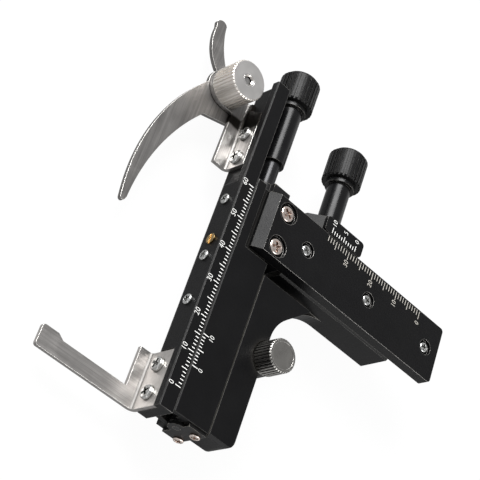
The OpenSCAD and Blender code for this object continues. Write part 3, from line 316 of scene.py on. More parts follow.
def turned(name, colours, gloss, sockets, centre, along, spacing, relief_mm,
           edge_mm=0.15, painted_shade_share=0.85, painted_shade_mm=0.6, painted_end_tone=None):
    """A turned piece: rings of tool marks about its axis, drawn coarser than they are so that they show, rubbed edges
    that are also a painted highlight, and painted shade in its corners and grooves. Its colours are the body, the other
    body tone and the rubbed, highlit edge, and its gloss is the least and the most roughness. Its end faces may have a
    tone of their own, painted for how the light falls on them."""
    material, tree, place = start_finish(name)
    middle = add(tree, "ShaderNodeVectorMath", {"operation": "SUBTRACT"}, {0: place, 1: centre}).outputs["Vector"]
    across = [0.0 if axis == along else 1.0 for axis in "XYZ"]
    flat = add(tree, "ShaderNodeVectorMath", {"operation": "MULTIPLY"}, {0: middle, 1: across}).outputs["Vector"]
    radius = add(tree, "ShaderNodeVectorMath", {"operation": "LENGTH"}, {0: flat}).outputs["Value"]
    apart = add(tree, "ShaderNodeSeparateXYZ", {}, {"Vector": middle}).outputs[along]
    both = add(tree, "ShaderNodeMath", {"operation": "ADD"}, {0: radius, 1: apart}).outputs["Value"]
    rings = add(tree, "ShaderNodeTexNoise", {"noise_dimensions": "1D"},
                {"W": both, "Scale": per_mm(spacing), "Detail": 3.0})
    stains = add(tree, "ShaderNodeTexNoise", {},
                 {"Vector": place, "Scale": per_mm(3.5), "Detail": 5.0, "Distortion": 0.4})
    chips = add(tree, "ShaderNodeTexNoise", {}, {"Vector": place, "Scale": per_mm(0.9), "Detail": 4.0})
    normal, edges = rounded_edges(tree, edge_mm, rings.outputs["Fac"], relief_mm)
    worn = add(tree, "ShaderNodeMapRange", {"clamp": True},
               {"Value": chips.outputs["Fac"], "From Min": 0.35, "From Max": 0.65}).outputs["Result"]
    bare = add(tree, "ShaderNodeMath", {"operation": "MULTIPLY"}, {0: edges, 1: worn}).outputs["Value"]
    tone = add(tree, "ShaderNodeMix", {"data_type": "RGBA"},
               {"Factor": stains.outputs["Fac"], "A": linear(colours[0]), "B": linear(colours[1])}).outputs["Result"]
    # The end faces' own tone is painted light and shade, set apart from the side by how the light falls
    if painted_end_tone:
        true = add(tree, "ShaderNodeNewGeometry").outputs["True Normal"]
        facing = add(tree, "ShaderNodeSeparateXYZ", {}, {"Vector": true}).outputs[along]
        on_end = add(tree, "ShaderNodeMapRange", {"clamp": True},
                     {"Value": facing, "From Min": 0.8, "From Max": 0.95}).outputs["Result"]
        tone = add(tree, "ShaderNodeMix", {"data_type": "RGBA"},
                   {"Factor": on_end, "A": tone, "B": linear(painted_end_tone)}).outputs["Result"]
    # Rubbed edges in the third colour, which also paint the edges' highlight
    worn_and_highlit_tone = add(tree, "ShaderNodeMix", {"data_type": "RGBA"},
                    {"Factor": bare, "A": tone, "B": linear(colours[2])}).outputs["Result"]
    # Painted shade: ambient occlusion darkens corners and grooves towards near black
    open_share = add(tree, "ShaderNodeAmbientOcclusion", {"samples": 6}, {"Distance": painted_shade_mm * MM}).outputs["AO"]
    painted_shade = add(tree, "ShaderNodeMapRange", {"clamp": True},
                {"Value": open_share, "From Min": 0.9, "From Max": 0.5,
                 "To Min": 0.0, "To Max": painted_shade_share}).outputs["Result"]
    colour = add(tree, "ShaderNodeMix", {"data_type": "RGBA"},
                 {"Factor": painted_shade, "A": worn_and_highlit_tone, "B": linear("#0e0d0c")}).outputs["Result"]
    mixed = add(tree, "ShaderNodeMath", {"operation": "MULTIPLY"},
                {0: rings.outputs["Fac"], 1: stains.outputs["Fac"]}).outputs["Value"]
    rough = add(tree, "ShaderNodeMapRange", {"clamp": True},
                {"Value": mixed, "From Min": 0.12, "From Max": 0.4,
                 "To Min": gloss[0], "To Max": gloss[1]}).outputs["Result"]
    shader = add(tree, "ShaderNodeBsdfPrincipled", {},
                 {"Base Color": colour, "Roughness": rough, "Normal": normal, **sockets})
    add(tree, "ShaderNodeOutputMaterial", {}, {"Surface": shader.outputs["BSDF"]})
    return material


METAL = {"Metallic": 1.0}
CROSS_AXIS = from_scale_zero(0, -31, -5.85)
BLACK_CHROMATE = ("#0b0b0c", "#131314", "#8d8982")
dress("shaft_bush", turned("black_chromate_bush", BLACK_CHROMATE, (0.2, 0.32), {"Specular IOR Level": 0.45},
                           CROSS_AXIS, "X", 0.16, 0.006))

# Clamping screw
# A steel thumb screw with a nickel plated knob, straight knurled, over a plain steel washer.
# Its M4 end screws into the top of the microscope's stage.

CLAMP_AXIS = from_scale_zero(CLAMP_X, CLAMP_Y, 0)
dress("clamp_knob", turned("satin_nickel_plate_on_brass", ("#8f8d8a", "#a09e9a", "#f0eeea"), (0.26, 0.4), METAL,
                           CLAMP_AXIS, "Z", 0.18, 0.003, painted_shade_share=0.7))
dress("clamp_washer", turned("plain_steel_washer", ("#8f8e8b", "#a3a29f", "#d8d7d4"), (0.25, 0.4), METAL,
                             CLAMP_AXIS, "Z", 0.25, 0.004))

THREAD_PITCH, THREAD_R, THREAD_ROOT_R = 0.7, 1.99, 1.58
CREST_FROM, CREST_TO, ROOT_FROM = 0.28, 0.38, 0.66
THREAD_LOW, THREAD_HIGH = -18.5, -12.5
STEPS_PER_TURN = 32
# The thread is spun past both its ends, and then cut level
SPARE_TURNS = 3
NECK_R, NECK_OVERLAP, SCREW_TOP = 1.69, 1, 3.2
shape = bmesh.new()
flank = [(THREAD_ROOT_R, 0), (THREAD_R, CREST_FROM), (THREAD_R, CREST_TO),
         (THREAD_ROOT_R, ROOT_FROM), (THREAD_ROOT_R, THREAD_PITCH)]
start = THREAD_LOW - SPARE_TURNS / 2 * THREAD_PITCH
corners = [shape.verts.new(from_scale_zero(CLAMP_X + r, CLAMP_Y, start + z)) for r, z in flank]
for one, two in zip(corners, corners[1:]):
    shape.edges.new((one, two))
turns = math.ceil((THREAD_HIGH - THREAD_LOW) / THREAD_PITCH) + SPARE_TURNS
bmesh.ops.spin(shape, geom=shape.verts[:] + shape.edges[:], cent=CLAMP_AXIS, axis=(0, 0, 1),
               dvec=(0, 0, THREAD_PITCH * MM / STEPS_PER_TURN), angle=2 * math.pi * turns,
               steps=STEPS_PER_TURN * turns, use_merge=False)
bmesh.ops.remove_doubles(shape, verts=shape.verts[:], dist=0.002 * MM)
for height, side in ((THREAD_LOW, -1), (THREAD_HIGH, 1)):
    level = from_scale_zero(CLAMP_X, CLAMP_Y, height)
    bmesh.ops.bisect_plane(shape, geom=shape.verts[:] + shape.edges[:] + shape.faces[:], dist=0.0001 * MM,
                           plane_co=level, plane_no=(0, 0, side), clear_outer=True)
    rim = [edge for edge in shape.edges
           if edge.is_boundary and all(abs(v.co.z - level.z) < 0.001 * MM for v in edge.verts)]
    bmesh.ops.holes_fill(shape, edges=rim, sides=0)
neck_low = THREAD_HIGH - NECK_OVERLAP
neck_middle = from_scale_zero(CLAMP_X, CLAMP_Y, (SCREW_TOP + neck_low) / 2)
bmesh.ops.create_cone(shape, cap_ends=True, segments=48, radius1=NECK_R * MM, radius2=NECK_R * MM,
                      depth=(SCREW_TOP - neck_low) * MM, matrix=Matrix.Translation(neck_middle))
bmesh.ops.recalc_face_normals(shape, faces=shape.faces[:])
screw_steel = turned("zinc_plated_steel_screw", ("#8d8d8b", "#a8a8a6", "#dcdcda"), (0.22, 0.36), METAL,
                     CLAMP_AXIS, "Z", 0.2, 0.003, 0.06)
thread = finished("clamp_screw_thread", shape, screw_steel, "clamp")
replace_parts(thread, "clamp_screw")

# Cross slide
# A flat black anodised plate with a sloped nose, its scale of 0 to 38 mm engraved and filled white.
# Copper plated screws hold it on the guide block, and three small bright ones hold its rail.

dress("cross_slide", anodised_aluminium("black_anodised_cross_slide", "Y"))

SLIDE_ZERO = -65.08
SLIDE_SCALE_EDGE, SLIDE_SCALE_LONG, SLIDE_SCALE_SHORT, SLIDE_LINE_W = 62.6, 60.1, 61.0, 0.18
SLIDE_NUMBER_X, SCALE_NUMBER_H = 58.9, 1.65
shape = bmesh.new()
ruled_lines(shape, "Y", 39, SLIDE_ZERO, 1, SLIDE_SCALE_EDGE, SLIDE_SCALE_LONG, SLIDE_SCALE_SHORT, PLATE_TOP,
            SLIDE_LINE_W)
for i in (0, 10, 20, 30):
    number(shape, str(i), SCALE_NUMBER_H, (SLIDE_NUMBER_X, SLIDE_ZERO + i, PLATE_TOP))
worn_paint = engraving_fill("rubbed_white_engraving_paint", "#b4b0a8", "#7c7973")
finished("cross_scale_marks", shape, worn_paint, "cross_carriage")


def plated_screws(name, colours, gloss):
    """Plated machine screws: bright raised parts, painted shade in the other colour low in the recess, and that colour
    in the rubbed spots.
    """
    material, tree, place = start_finish(name)
    # Painted shade: ambient occlusion darkens the recess towards the second colour
    painted_shade = add(tree, "ShaderNodeAmbientOcclusion", {"samples": 6}, {"Distance": 0.7 * MM}).outputs["AO"]
    rubbed = add(tree, "ShaderNodeTexNoise", {},
                 {"Vector": place, "Scale": per_mm(0.5), "Detail": 5.0, "Roughness": 0.6})
    low = add(tree, "ShaderNodeMapRange", {"clamp": True},
              {"Value": painted_shade, "From Min": 0.9, "From Max": 0.55}).outputs["Result"]
    spots = add(tree, "ShaderNodeMapRange", {"clamp": True},
                {"Value": rubbed.outputs["Fac"], "From Min": 0.5, "From Max": 0.75}).outputs["Result"]
    both = add(tree, "ShaderNodeMath", {"operation": "MAXIMUM"}, {0: low, 1: spots}).outputs["Value"]
    colour = add(tree, "ShaderNodeMix", {"data_type": "RGBA"},
                 {"Factor": both, "A": linear(colours[0]), "B": linear(colours[1])}).outputs["Result"]
    rough = add(tree, "ShaderNodeMapRange", {"clamp": True},
                {"Value": rubbed.outputs["Fac"], "From Min": 0.3, "From Max": 0.7,
                 "To Min": gloss[0], "To Max": gloss[1]}).outputs["Result"]
    normal, _ = rounded_edges(tree, 0.12, rubbed.outputs["Fac"], 0.006)
    shader = add(tree, "ShaderNodeBsdfPrincipled", {},
                 {"Base Color": colour, "Roughness": rough, "Metallic": 1.0, "Normal": normal})
    add(tree, "ShaderNodeOutputMaterial", {}, {"Surface": shader.outputs["BSDF"]})
    return material


RING_SIDES = 24
SIDE_ANGLE = 360 / RING_SIDES
CROSS_SHARE = 0.66
CROSS_HALF_ANGLE = 15


def around(radius, side):
    """The place across and up of one of a ring's corners, from the ring's middle."""
    return radius * math.cos(math.radians(SIDE_ANGLE * side)), radius * math.sin(math.radians(SIDE_ANGLE * side))


def ring_skin(shape, places, smooth=()):
    """Joins the places of each ring to the next ring's with faces, closes the first ring, and gives the last one's
    corners. The levels named smooth are shaded so."""
    corners = [[shape.verts.new(place) for place in ring] for ring in places]
    for level, (lower, upper) in enumerate(zip(corners, corners[1:])):
        for i in range(RING_SIDES):
            beside = (i + 1) % RING_SIDES
            face = shape.faces.new((lower[i], lower[beside], upper[beside], upper[i]))
            face.smooth = level in smooth
    shape.faces.new(corners[0][::-1])
    return corners[-1]


def cross_radius(degrees, reach):
    """How far a cross recess reaches from its middle at an angle: square ends on its arms, and sides between them."""
    near = abs((degrees + 45) % 90 - 45)
    arm = reach / math.cos(math.radians(near))
    side = reach * math.tan(math.radians(CROSS_HALF_ANGLE)) / math.sin(math.radians(max(near, 1)))
    return arm if near <= CROSS_HALF_ANGLE else side


# A pan head's rim and rounded top, and its recess from mouth to floor, as shares of its radius and height
HEAD_SHARES = ((1.0, 0.0), (1.0, 0.5), (0.94, 0.8), (0.78, 0.95))
RECESS_SHARES = ((1.0, 1.0), (0.8, 0.5), (0.5, 0.25))
RECESS_POINT_SHARE = 0.15
ROUND_LEVELS = (0, 3, 4)


def recessed_screw(shape, seat, facing, head, shank, turn):
    """A pan head screw with a tapered cross recess. Head and shank are their radius and length, in millimetres.
    Its seat is a place in millimetres from the scale zero, and it faces the way of a vector."""
    (wide, tall), (thin, deep) = head, shank
    rings = [[(thin, -deep)] * RING_SIDES, [(thin, 0)] * RING_SIDES]
    rings += [[(share * wide, level * tall)] * RING_SIDES for share, level in HEAD_SHARES]
    rings += [[(share * cross_radius(SIDE_ANGLE * i, CROSS_SHARE * wide), level * tall) for i in range(RING_SIDES)]
              for share, level in RECESS_SHARES]
    stand = Matrix.Translation(from_scale_zero(*seat)) @ Vector(facing).to_track_quat("Z", "Y").to_matrix().to_4x4()
    stand = stand @ Matrix.Rotation(math.radians(turn), 4, "Z")
    places = [[stand @ (Vector((*around(r, i), z)) * MM) for i, (r, z) in enumerate(ring)] for ring in rings]
    floor_ring = ring_skin(shape, places, ROUND_LEVELS)
    point = shape.verts.new(stand @ Vector((0, 0, RECESS_POINT_SHARE * tall * MM)))
    for one, two in zip(floor_ring, floor_ring[1:] + floor_ring[:1]):
        shape.faces.new((one, two, point))


# The copper plate's raised parts are painted near white as a painted highlight; its recess takes copper brown as
# painted shade
copper_plate = plated_screws("copper_plated_steel_screws", ("#f0e4dc", "#6a4630"), (0.16, 0.3))
zinc_plate = plated_screws("bright_zinc_plated_screws", ("#dcdddc", "#6d6d69"), (0.14, 0.28))

SLIDE_SCREW_Y, SLIDE_SCREW_SEAT = -12.2, 0.74
RAIL_SCREW_X, RAIL_SCREW_SEAT = 54.3, 0.84
shape = bmesh.new()
for x, turn in ((49.05, 20), (59.55, 52)):
    recessed_screw(shape, (x, SLIDE_SCREW_Y, SLIDE_SCREW_SEAT), (0, 0, 1),
                   head=(2.25, 0.9), shank=(1.3, 5.9), turn=turn)
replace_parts(finished("slide_screws_recessed", shape, copper_plate, "cross_carriage"), "slide_screws")
shape = bmesh.new()
for y, turn in ((-21.7, 35), (-46.1, 70), (-70.5, 10)):
    recessed_screw(shape, (RAIL_SCREW_X, y, RAIL_SCREW_SEAT), (0, 0, 1),
                   head=(1.5, 0.75), shank=(0.9, 4.9), turn=turn)
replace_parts(finished("rail_screws_recessed", shape, zinc_plate, "cross_carriage"), "rail_screws")


def milled(name, colours, gloss):
    """Milled bar stock: wavy cutter lines aslant, drawn coarser than they are so that they show, and brighter edges as
    a painted highlight. Its colours are the two tones of its face and its highlit edges."""
    material, tree, place = start_finish(name)
    lines = add(tree, "ShaderNodeTexWave", {"wave_type": "BANDS", "bands_direction": "DIAGONAL"},
                {"Vector": place, "Scale": per_mm(2.2), "Distortion": 3.0, "Detail": 3.0, "Detail Scale": 2.0})
    stains = add(tree, "ShaderNodeTexNoise", {}, {"Vector": place, "Scale": per_mm(2.5), "Detail": 5.0})
    normal, edges = rounded_edges(tree, 0.12, lines.outputs["Fac"], 0.006)
    tone = add(tree, "ShaderNodeMix", {"data_type": "RGBA"},
               {"Factor": stains.outputs["Fac"], "A": linear(colours[0]), "B": linear(colours[1])}).outputs["Result"]
    # Painted highlight on the edges
    colour = add(tree, "ShaderNodeMix", {"data_type": "RGBA"},
                 {"Factor": edges, "A": tone, "B": linear(colours[2])}).outputs["Result"]
    rough = add(tree, "ShaderNodeMapRange", {},
                {"Value": stains.outputs["Fac"], "To Min": gloss[0], "To Max": gloss[1]}).outputs["Result"]
    shader = add(tree, "ShaderNodeBsdfPrincipled", {},
                 {"Base Color": colour, "Roughness": rough, "Metallic": 1.0, "Normal": normal})
    add(tree, "ShaderNodeOutputMaterial", {}, {"Surface": shader.outputs["BSDF"]})
    return material


ground_steel = milled("ground_steel_rail", ("#77757a", "#8d8b88", "#c9c8c4"), (0.24, 0.4))
cut_brass = milled("milled_brass", ("#a5803a", "#c19a50", "#e6cc8e"), (0.22, 0.38))
dress("dovetail_rail", ground_steel)
dress("rack", cut_brass)

# Guide block
# A zinc casting in the same enamel as the base. The scale bar slides in its front, and the lead screw lies inside.
# Its top carries the vernier of the long scale, filled white.

dress("guide_block", enamelled_zinc("baked_black_enamel_guide_block", 0.2))

BAR_TOP = 0.0
LONG_VERNIER_ZERO = 6.93
LONG_VERNIER_EDGE, LONG_VERNIER_LONG, LONG_VERNIER_SHORT = -1.15, -3.0, -2.1
LONG_VERNIER_NUMBER_Y, LONG_VERNIER_NUMBER_H = -4.0, 1.5
shape = bmesh.new()
ruled_lines(shape, "X", 11, LONG_VERNIER_ZERO, VERNIER_STEP,
            LONG_VERNIER_EDGE, LONG_VERNIER_LONG, LONG_VERNIER_SHORT, BAR_TOP)
for i in (0, 10):
    number(shape, str(i), LONG_VERNIER_NUMBER_H,
           (LONG_VERNIER_ZERO + VERNIER_STEP * i, LONG_VERNIER_NUMBER_Y, BAR_TOP))
finished("long_vernier_marks", shape, engraving_paint, "cross_carriage")

# End plates
# Two small turned and milled plates that carry the lead screw.
# Each is held by two copper plated screws, one over the other.

SCREW_AXIS = from_scale_zero(0, -6.6, -5.2)
plate_black = turned("black_chromate_end_plate", ("#0d0d0e", "#171718", "#8b877f"), (0.3, 0.45),
                     {"Specular IOR Level": 0.22}, SCREW_AXIS, "X", 0.3, 0.006)
dress("near_end_plate", plate_black)
dress("far_bearing_plate", plate_black)

NEAR_PLATE_X, FAR_PLATE_X, PLATE_SCREW_Y = -6.7, 66.2, -11.1
PLATE_SCREW_HEAD = (1.4, 0.55)
shape = bmesh.new()
for z, turn in ((-3.2, 40), (-9.4, 8)):
    recessed_screw(shape, (NEAR_PLATE_X, PLATE_SCREW_Y, z), (-1, 0, 0),
                   head=PLATE_SCREW_HEAD, shank=(0.85, 4), turn=turn)
    recessed_screw(shape, (FAR_PLATE_X, PLATE_SCREW_Y, z), (1, 0, 0),
                   head=PLATE_SCREW_HEAD, shank=(0.85, 4.5), turn=turn + 30)
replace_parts(finished("end_plate_screws_recessed", shape, copper_plate, "cross_carriage"),
            "end_plate_screws")

# Lead screw drive
# A black oxide lead screw, with its plain shaft, a gloss black sleeve with a collar and a knurled knob.
# A socket grub screw in a groove of the knurl holds the knob.

dress("lead_screw", turned("black_oxide_lead_screw", ("#1b1b1d", "#29292b", "#8a8a88"), (0.22, 0.36),
                           {"Metallic": 0.6}, SCREW_AXIS, "X", 0.3, 0.006))
SLEEVE_GLOSS, SLEEVE_LOOK = (0.2, 0.3), {"Specular IOR Level": 0.19}
dress("screw_sleeve", turned("gloss_black_chromate_sleeve", BLACK_CHROMATE, SLEEVE_GLOSS, SLEEVE_LOOK,
                             SCREW_AXIS, "X", 0.2, 0.004))
# The third colour: the knobs' rubbed edges, light grey, also a painted highlight on each tooth
KNOB_BLACK = ("#0b0b0c", "#121213", "#444341")
KNOB_GLOSS, KNOB_LOOK = (0.3, 0.44), {"Specular IOR Level": 0.15}
dress("screw_knob", turned("satin_black_anodised_knob", KNOB_BLACK, KNOB_GLOSS, KNOB_LOOK,
                           SCREW_AXIS, "X", 0.24, 0.008, 0.1))
grub_steel = plated_screws("black_oxide_grub_screw", ("#4a4a4b", "#17171a"), (0.3, 0.45))
dress("screw_knob_grub", grub_steel)

# Cross drive
# A steel shaft across the arm with a small brass pinion, which meshes with the rack.
# Its sleeve and knob are the same as the lead screw's.

dress("pinion_shaft", turned("ground_steel_shaft", ("#8a8a89", "#a2a2a0", "#d6d6d4"), (0.2, 0.34), METAL,
                             CROSS_AXIS, "X", 0.2, 0.003))
dress("pinion", cut_brass)
dress("pinion_sleeve", turned("gloss_black_chromate_pinion_sleeve", BLACK_CHROMATE, SLEEVE_GLOSS, SLEEVE_LOOK,
                              CROSS_AXIS, "X", 0.2, 0.004))
dress("pinion_knob", turned("satin_black_anodised_pinion_knob", KNOB_BLACK, KNOB_GLOSS, KNOB_LOOK,
                            CROSS_AXIS, "X", 0.24, 0.008, 0.1))
dress("pinion_knob_grub", grub_steel)

# Scale bar
# A black anodised bar ruled in millimetres from 0 to 60, with a dovetail strip screwed on its rear face.
# Bright screws hold the strip, a slotted brass one takes up its play, and a brass half nut joins it to the lead screw.

dress("scale_bar", anodised_aluminium("black_anodised_scale_bar", "X", front_share=0.35))
dress("bar_dovetail", ground_steel)
dress("half_nut", cut_brass)
dress("adjusting_screw", plated_screws("bare_brass_screw", ("#b89f70", "#6a5029"), (0.18, 0.34)))

BAR_SCREW_SEAT_Y, BAR_SCREW_Z = 3.7, -4
shape = bmesh.new()
for x, turn in ((23.5, 15), (36.8, 60), (54.5, 33)):
    recessed_screw(shape, (x, BAR_SCREW_SEAT_Y, BAR_SCREW_Z), (0, 1, 0),
                   head=(1.5, 0.9), shank=(0.9, 7), turn=turn)
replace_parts(finished("bar_screws_recessed", shape, zinc_plate, "bar"), "bar_screws")

LONG_SCALE_EDGE, LONG_SCALE_LONG, LONG_SCALE_SHORT = -0.28, 1.5, 0.72
LONG_SCALE_NUMBER_Y = 2.72
shape = bmesh.new()
ruled_lines(shape, "X", 61, 0, 1, LONG_SCALE_EDGE, LONG_SCALE_LONG, LONG_SCALE_SHORT, BAR_TOP)
for i in range(0, 61, 10):
    number(shape, str(i), SCALE_NUMBER_H, (i, LONG_SCALE_NUMBER_Y, BAR_TOP))
finished("long_scale_marks", shape, engraving_paint, "bar")

# Slide holder
# Fingers and bracket bent from brushed stainless spring sheet, each held on the bar by two bright screws.
# The curved finger turns about a stud under a nickel plated drum that hides its return spring.

# Where an angle sheet's upright leg ends and its flange begins, across the bar
LEG_ENDS_Y, FLANGE_FROM_Y = 3.6, 4.4
# The painted dark band's ragged edge, in millimetres from its middle, and how far the smears move it
DARK_BAND_CLEAR, DARK_BAND_THICK, DARK_BAND_RAGGED = 2.8, 1.9, 1.6
# A place past the far end of every sheet, for those with no painted dark band
NO_DARK_BAND_X = 200


def brushed_sheet(name, along, dark, light, gloss, dark_band_x=NO_DARK_BAND_X, upright_lit_share=0.0):
    """Stainless sheet, brushed one way between two tones, smeared from handling, darkened on its bends as painted
    shade.
    Its brush marks are drawn coarser than they are, so that they show; its edges carry a painted highlight, and painted
    shade darkens it round its screws. A painted dark band of shade and dark reflections crosses it at a place along the
    long scale, and runs on along its upright leg. Where a share says so, that leg is painted brighter, as painted
    light."""
    material, tree, place = start_finish(name)
    stretch = [per_mm(0.14), per_mm(0.14), per_mm(0.14)]
    stretch["XYZ".index(along)] = per_mm(9)
    brush = add(tree, "ShaderNodeMapping", {}, {"Vector": place, "Scale": stretch}).outputs["Vector"]
    hairs = add(tree, "ShaderNodeTexNoise", {},
                {"Vector": brush, "Scale": 1.0, "Detail": 4.0, "Roughness": 0.65})
    smears = add(tree, "ShaderNodeTexNoise", {},
                 {"Vector": place, "Scale": per_mm(6), "Detail": 5.0, "Distortion": 0.8})
    wide = add(tree, "ShaderNodeMapping", {}, {"Vector": brush, "Scale": (0.16, 0.16, 0.16)}).outputs["Vector"]
    streaks = add(tree, "ShaderNodeTexNoise", {},
                  {"Vector": wide, "Scale": 1.0, "Detail": 3.0, "Roughness": 0.6})
    both = add(tree, "ShaderNodeMath", {"operation": "ADD"},
               {0: hairs.outputs["Fac"], 1: streaks.outputs["Fac"]}).outputs["Value"]
    shade = add(tree, "ShaderNodeMapRange", {"clamp": True},
                {"Value": both, "From Min": 0.7, "From Max": 1.3}).outputs["Result"]
    normal, edges = rounded_edges(tree, 0.16, hairs.outputs["Fac"], 0.006)
    tone = add(tree, "ShaderNodeMix", {"data_type": "RGBA"},
               {"Factor": shade, "A": linear(dark), "B": linear(light)}).outputs["Result"]

    flat_normal = add(tree, "ShaderNodeNewGeometry").outputs["Normal"]
    faces = add(tree, "ShaderNodeSeparateXYZ", {}, {"Vector": flat_normal}).outputs
    # Painted light: faces that look along Y are painted brighter
    upright = add(tree, "ShaderNodeMapRange", {"clamp": True},
                  {"Value": faces["Y"], "From Min": 0.8, "From Max": 0.95,
                   "To Min": 0.0, "To Max": upright_lit_share}).outputs["Result"]
    upright_lit = add(tree, "ShaderNodeMix", {"data_type": "RGBA"},
                {"Factor": upright, "A": tone, "B": linear("#e8e4e0")}).outputs["Result"]
    # Painted highlight on the sheet's edges
    colour = add(tree, "ShaderNodeMix", {"data_type": "RGBA"},
                 {"Factor": edges, "A": upright_lit, "B": linear("#e9e7e3")}).outputs["Result"]

    # Painted shade round the screws, from ambient occlusion
    open_share = add(tree, "ShaderNodeAmbientOcclusion", {"samples": 6}, {"Distance": 0.6 * MM}).outputs["AO"]
    painted_shade = add(tree, "ShaderNodeMapRange", {"clamp": True},
                {"Value": open_share, "From Min": 0.75, "From Max": 0.4,
                 "To Min": 0.0, "To Max": 0.75}).outputs["Result"]
    # Painted dark band: shade and dark reflections on the flange, carried up the leg
    off = add(tree, "ShaderNodeVectorMath", {"operation": "SUBTRACT"},
              {0: place, 1: from_scale_zero(dark_band_x, 0, 0)}).outputs["Vector"]
    parted = add(tree, "ShaderNodeSeparateXYZ", {}, {"Vector": off}).outputs
    on_flange = add(tree, "ShaderNodeMapRange", {"clamp": True},
                    {"Value": parted["Y"], "From Min": LEG_ENDS_Y * MM,
                     "From Max": FLANGE_FROM_Y * MM}).outputs["Result"]
    beyond = add(tree, "ShaderNodeMath", {"operation": "MULTIPLY"}, {0: parted["X"], 1: on_flange}).outputs["Value"]
    before = add(tree, "ShaderNodeMath", {"operation": "MULTIPLY"}, {0: parted["X"], 1: -1.0}).outputs["Value"]
    away = add(tree, "ShaderNodeMath", {"operation": "MAXIMUM"}, {0: beyond, 1: before}).outputs["Value"]
    ragged = add(tree, "ShaderNodeMath", {"operation": "MULTIPLY_ADD"},
                 {0: smears.outputs["Fac"], 1: DARK_BAND_RAGGED * MM, 2: away}).outputs["Value"]
    painted_dark_band = add(tree, "ShaderNodeMapRange", {"clamp": True, "interpolation_type": "SMOOTHSTEP"},
              {"Value": ragged, "From Min": DARK_BAND_CLEAR * MM, "From Max": DARK_BAND_THICK * MM,
               "To Min": 0.0, "To Max": 1.0}).outputs["Result"]
    painted_dark = add(tree, "ShaderNodeMath", {"operation": "MAXIMUM"}, {0: painted_shade, 1: painted_dark_band}).outputs["Value"]
    # Painted shade and the painted dark band take the sheet towards dark brown
    shaded_tone = add(tree, "ShaderNodeMix", {"data_type": "RGBA"},
                  {"Factor": painted_dark, "A": colour, "B": linear("#2e2b28")}).outputs["Result"]

    # Painted shade on the bends, from how far their normal slants
    slanted = add(tree, "ShaderNodeMath", {"operation": "MULTIPLY"}, {0: faces["Y"], 1: faces["Z"]}).outputs["Value"]
    bent = add(tree, "ShaderNodeMapRange", {"clamp": True},
               {"Value": slanted, "From Min": 0.05, "From Max": 0.35,
                "To Min": 0.0, "To Max": 0.9}).outputs["Result"]
    bend_shaded = add(tree, "ShaderNodeMix", {"data_type": "RGBA"},
                 {"Factor": bent, "A": shaded_tone, "B": linear("#6d6b69")}).outputs["Result"]
    rough = add(tree, "ShaderNodeMapRange", {"clamp": True},
                {"Value": smears.outputs["Fac"], "From Min": 0.3, "From Max": 0.7,
                 "To Min": gloss[0], "To Max": gloss[1]}).outputs["Result"]
    shader = add(tree, "ShaderNodeBsdfPrincipled", {},
                 {"Base Color": bend_shaded, "Roughness": rough, "Metallic": 1.0, "Normal": normal})
    add(tree, "ShaderNodeOutputMaterial", {}, {"Surface": shader.outputs["BSDF"]})
    return material


# Along the long scale, where the bracket's painted dark band of shade and dark reflections lies
BRACKET_DARK_BAND_X = 80.5
# The fixed finger's upright leg is painted brighter, as painted light
dress("fixed_finger", brushed_sheet("brushed_stainless_fixed_finger", "Y", "#8b8987", "#b7b4b2", (0.42, 0.54),
                                    upright_lit_share=0.5))
dress("finger_bracket", brushed_sheet("brushed_stainless_bracket", "X", "#918f8d", "#bebbb9", (0.34, 0.46),
                                      BRACKET_DARK_BAND_X))
dress("curved_finger", brushed_sheet("brushed_stainless_curved_finger", "X", "#747271", "#989694", (0.42, 0.56)))

SHEET_FACE_Y, SHEET_SCREW_Z = 3.5, -6.5
bright_screws = plated_screws("polished_zinc_plated_finger_screws", ("#dadad8", "#5e5e5b"), (0.12, 0.26))
for node, places in (("fixed_finger_screws", ((-2.6, 25), (5.2, 65))), ("bracket_screws", ((69.1, 12), (77.0, 48)))):
    shape = bmesh.new()
    for x, turn in places:
        recessed_screw(shape, (x, SHEET_FACE_Y, SHEET_SCREW_Z), (0, 1, 0),
                       head=(2.0, 1.25), shank=(0.9, 4.1), turn=turn)
    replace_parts(finished(node + "_recessed", shape, bright_screws, "bar"), node)

PIVOT_X, PIVOT_Y = 87.7, 11.8
PIVOT_AXIS = from_scale_zero(PIVOT_X, PIVOT_Y, 0)
# The drum's side is painted near white, brighter than nickel, as painted light, and its end faces darker as painted
# shade
DRUM_LIT_NICKEL, DRUM_END_SHADE = ("#f4eee7", "#fdf8f2", "#fbf9f5"), "#d6d4d2"
dress("spring_drum", turned("satin_nickel_plated_drum", DRUM_LIT_NICKEL, (0.32, 0.46), METAL,
                            PIVOT_AXIS, "Z", 0.2, 0.003, painted_shade_share=0.0, painted_end_tone=DRUM_END_SHADE))
dress("pivot_stud", turned("turned_steel_stud", ("#93928f", "#a9a8a5", "#d9d8d5"), (0.22, 0.36), METAL,
                           PIVOT_AXIS, "Z", 0.2, 0.003))
dress("torsion_spring", turned("drawn_spring_wire", ("#6f6f70", "#878788", "#b5b5b4"), (0.24, 0.36), METAL,
                               PIVOT_AXIS, "Z", 0.1, 0.002))


def hex_radius(degrees, corner):
    """How far a hexagon with this corner radius reaches from its middle at an angle."""
    return corner * math.cos(math.radians(30)) / math.cos(math.radians(degrees % 60 - 30))


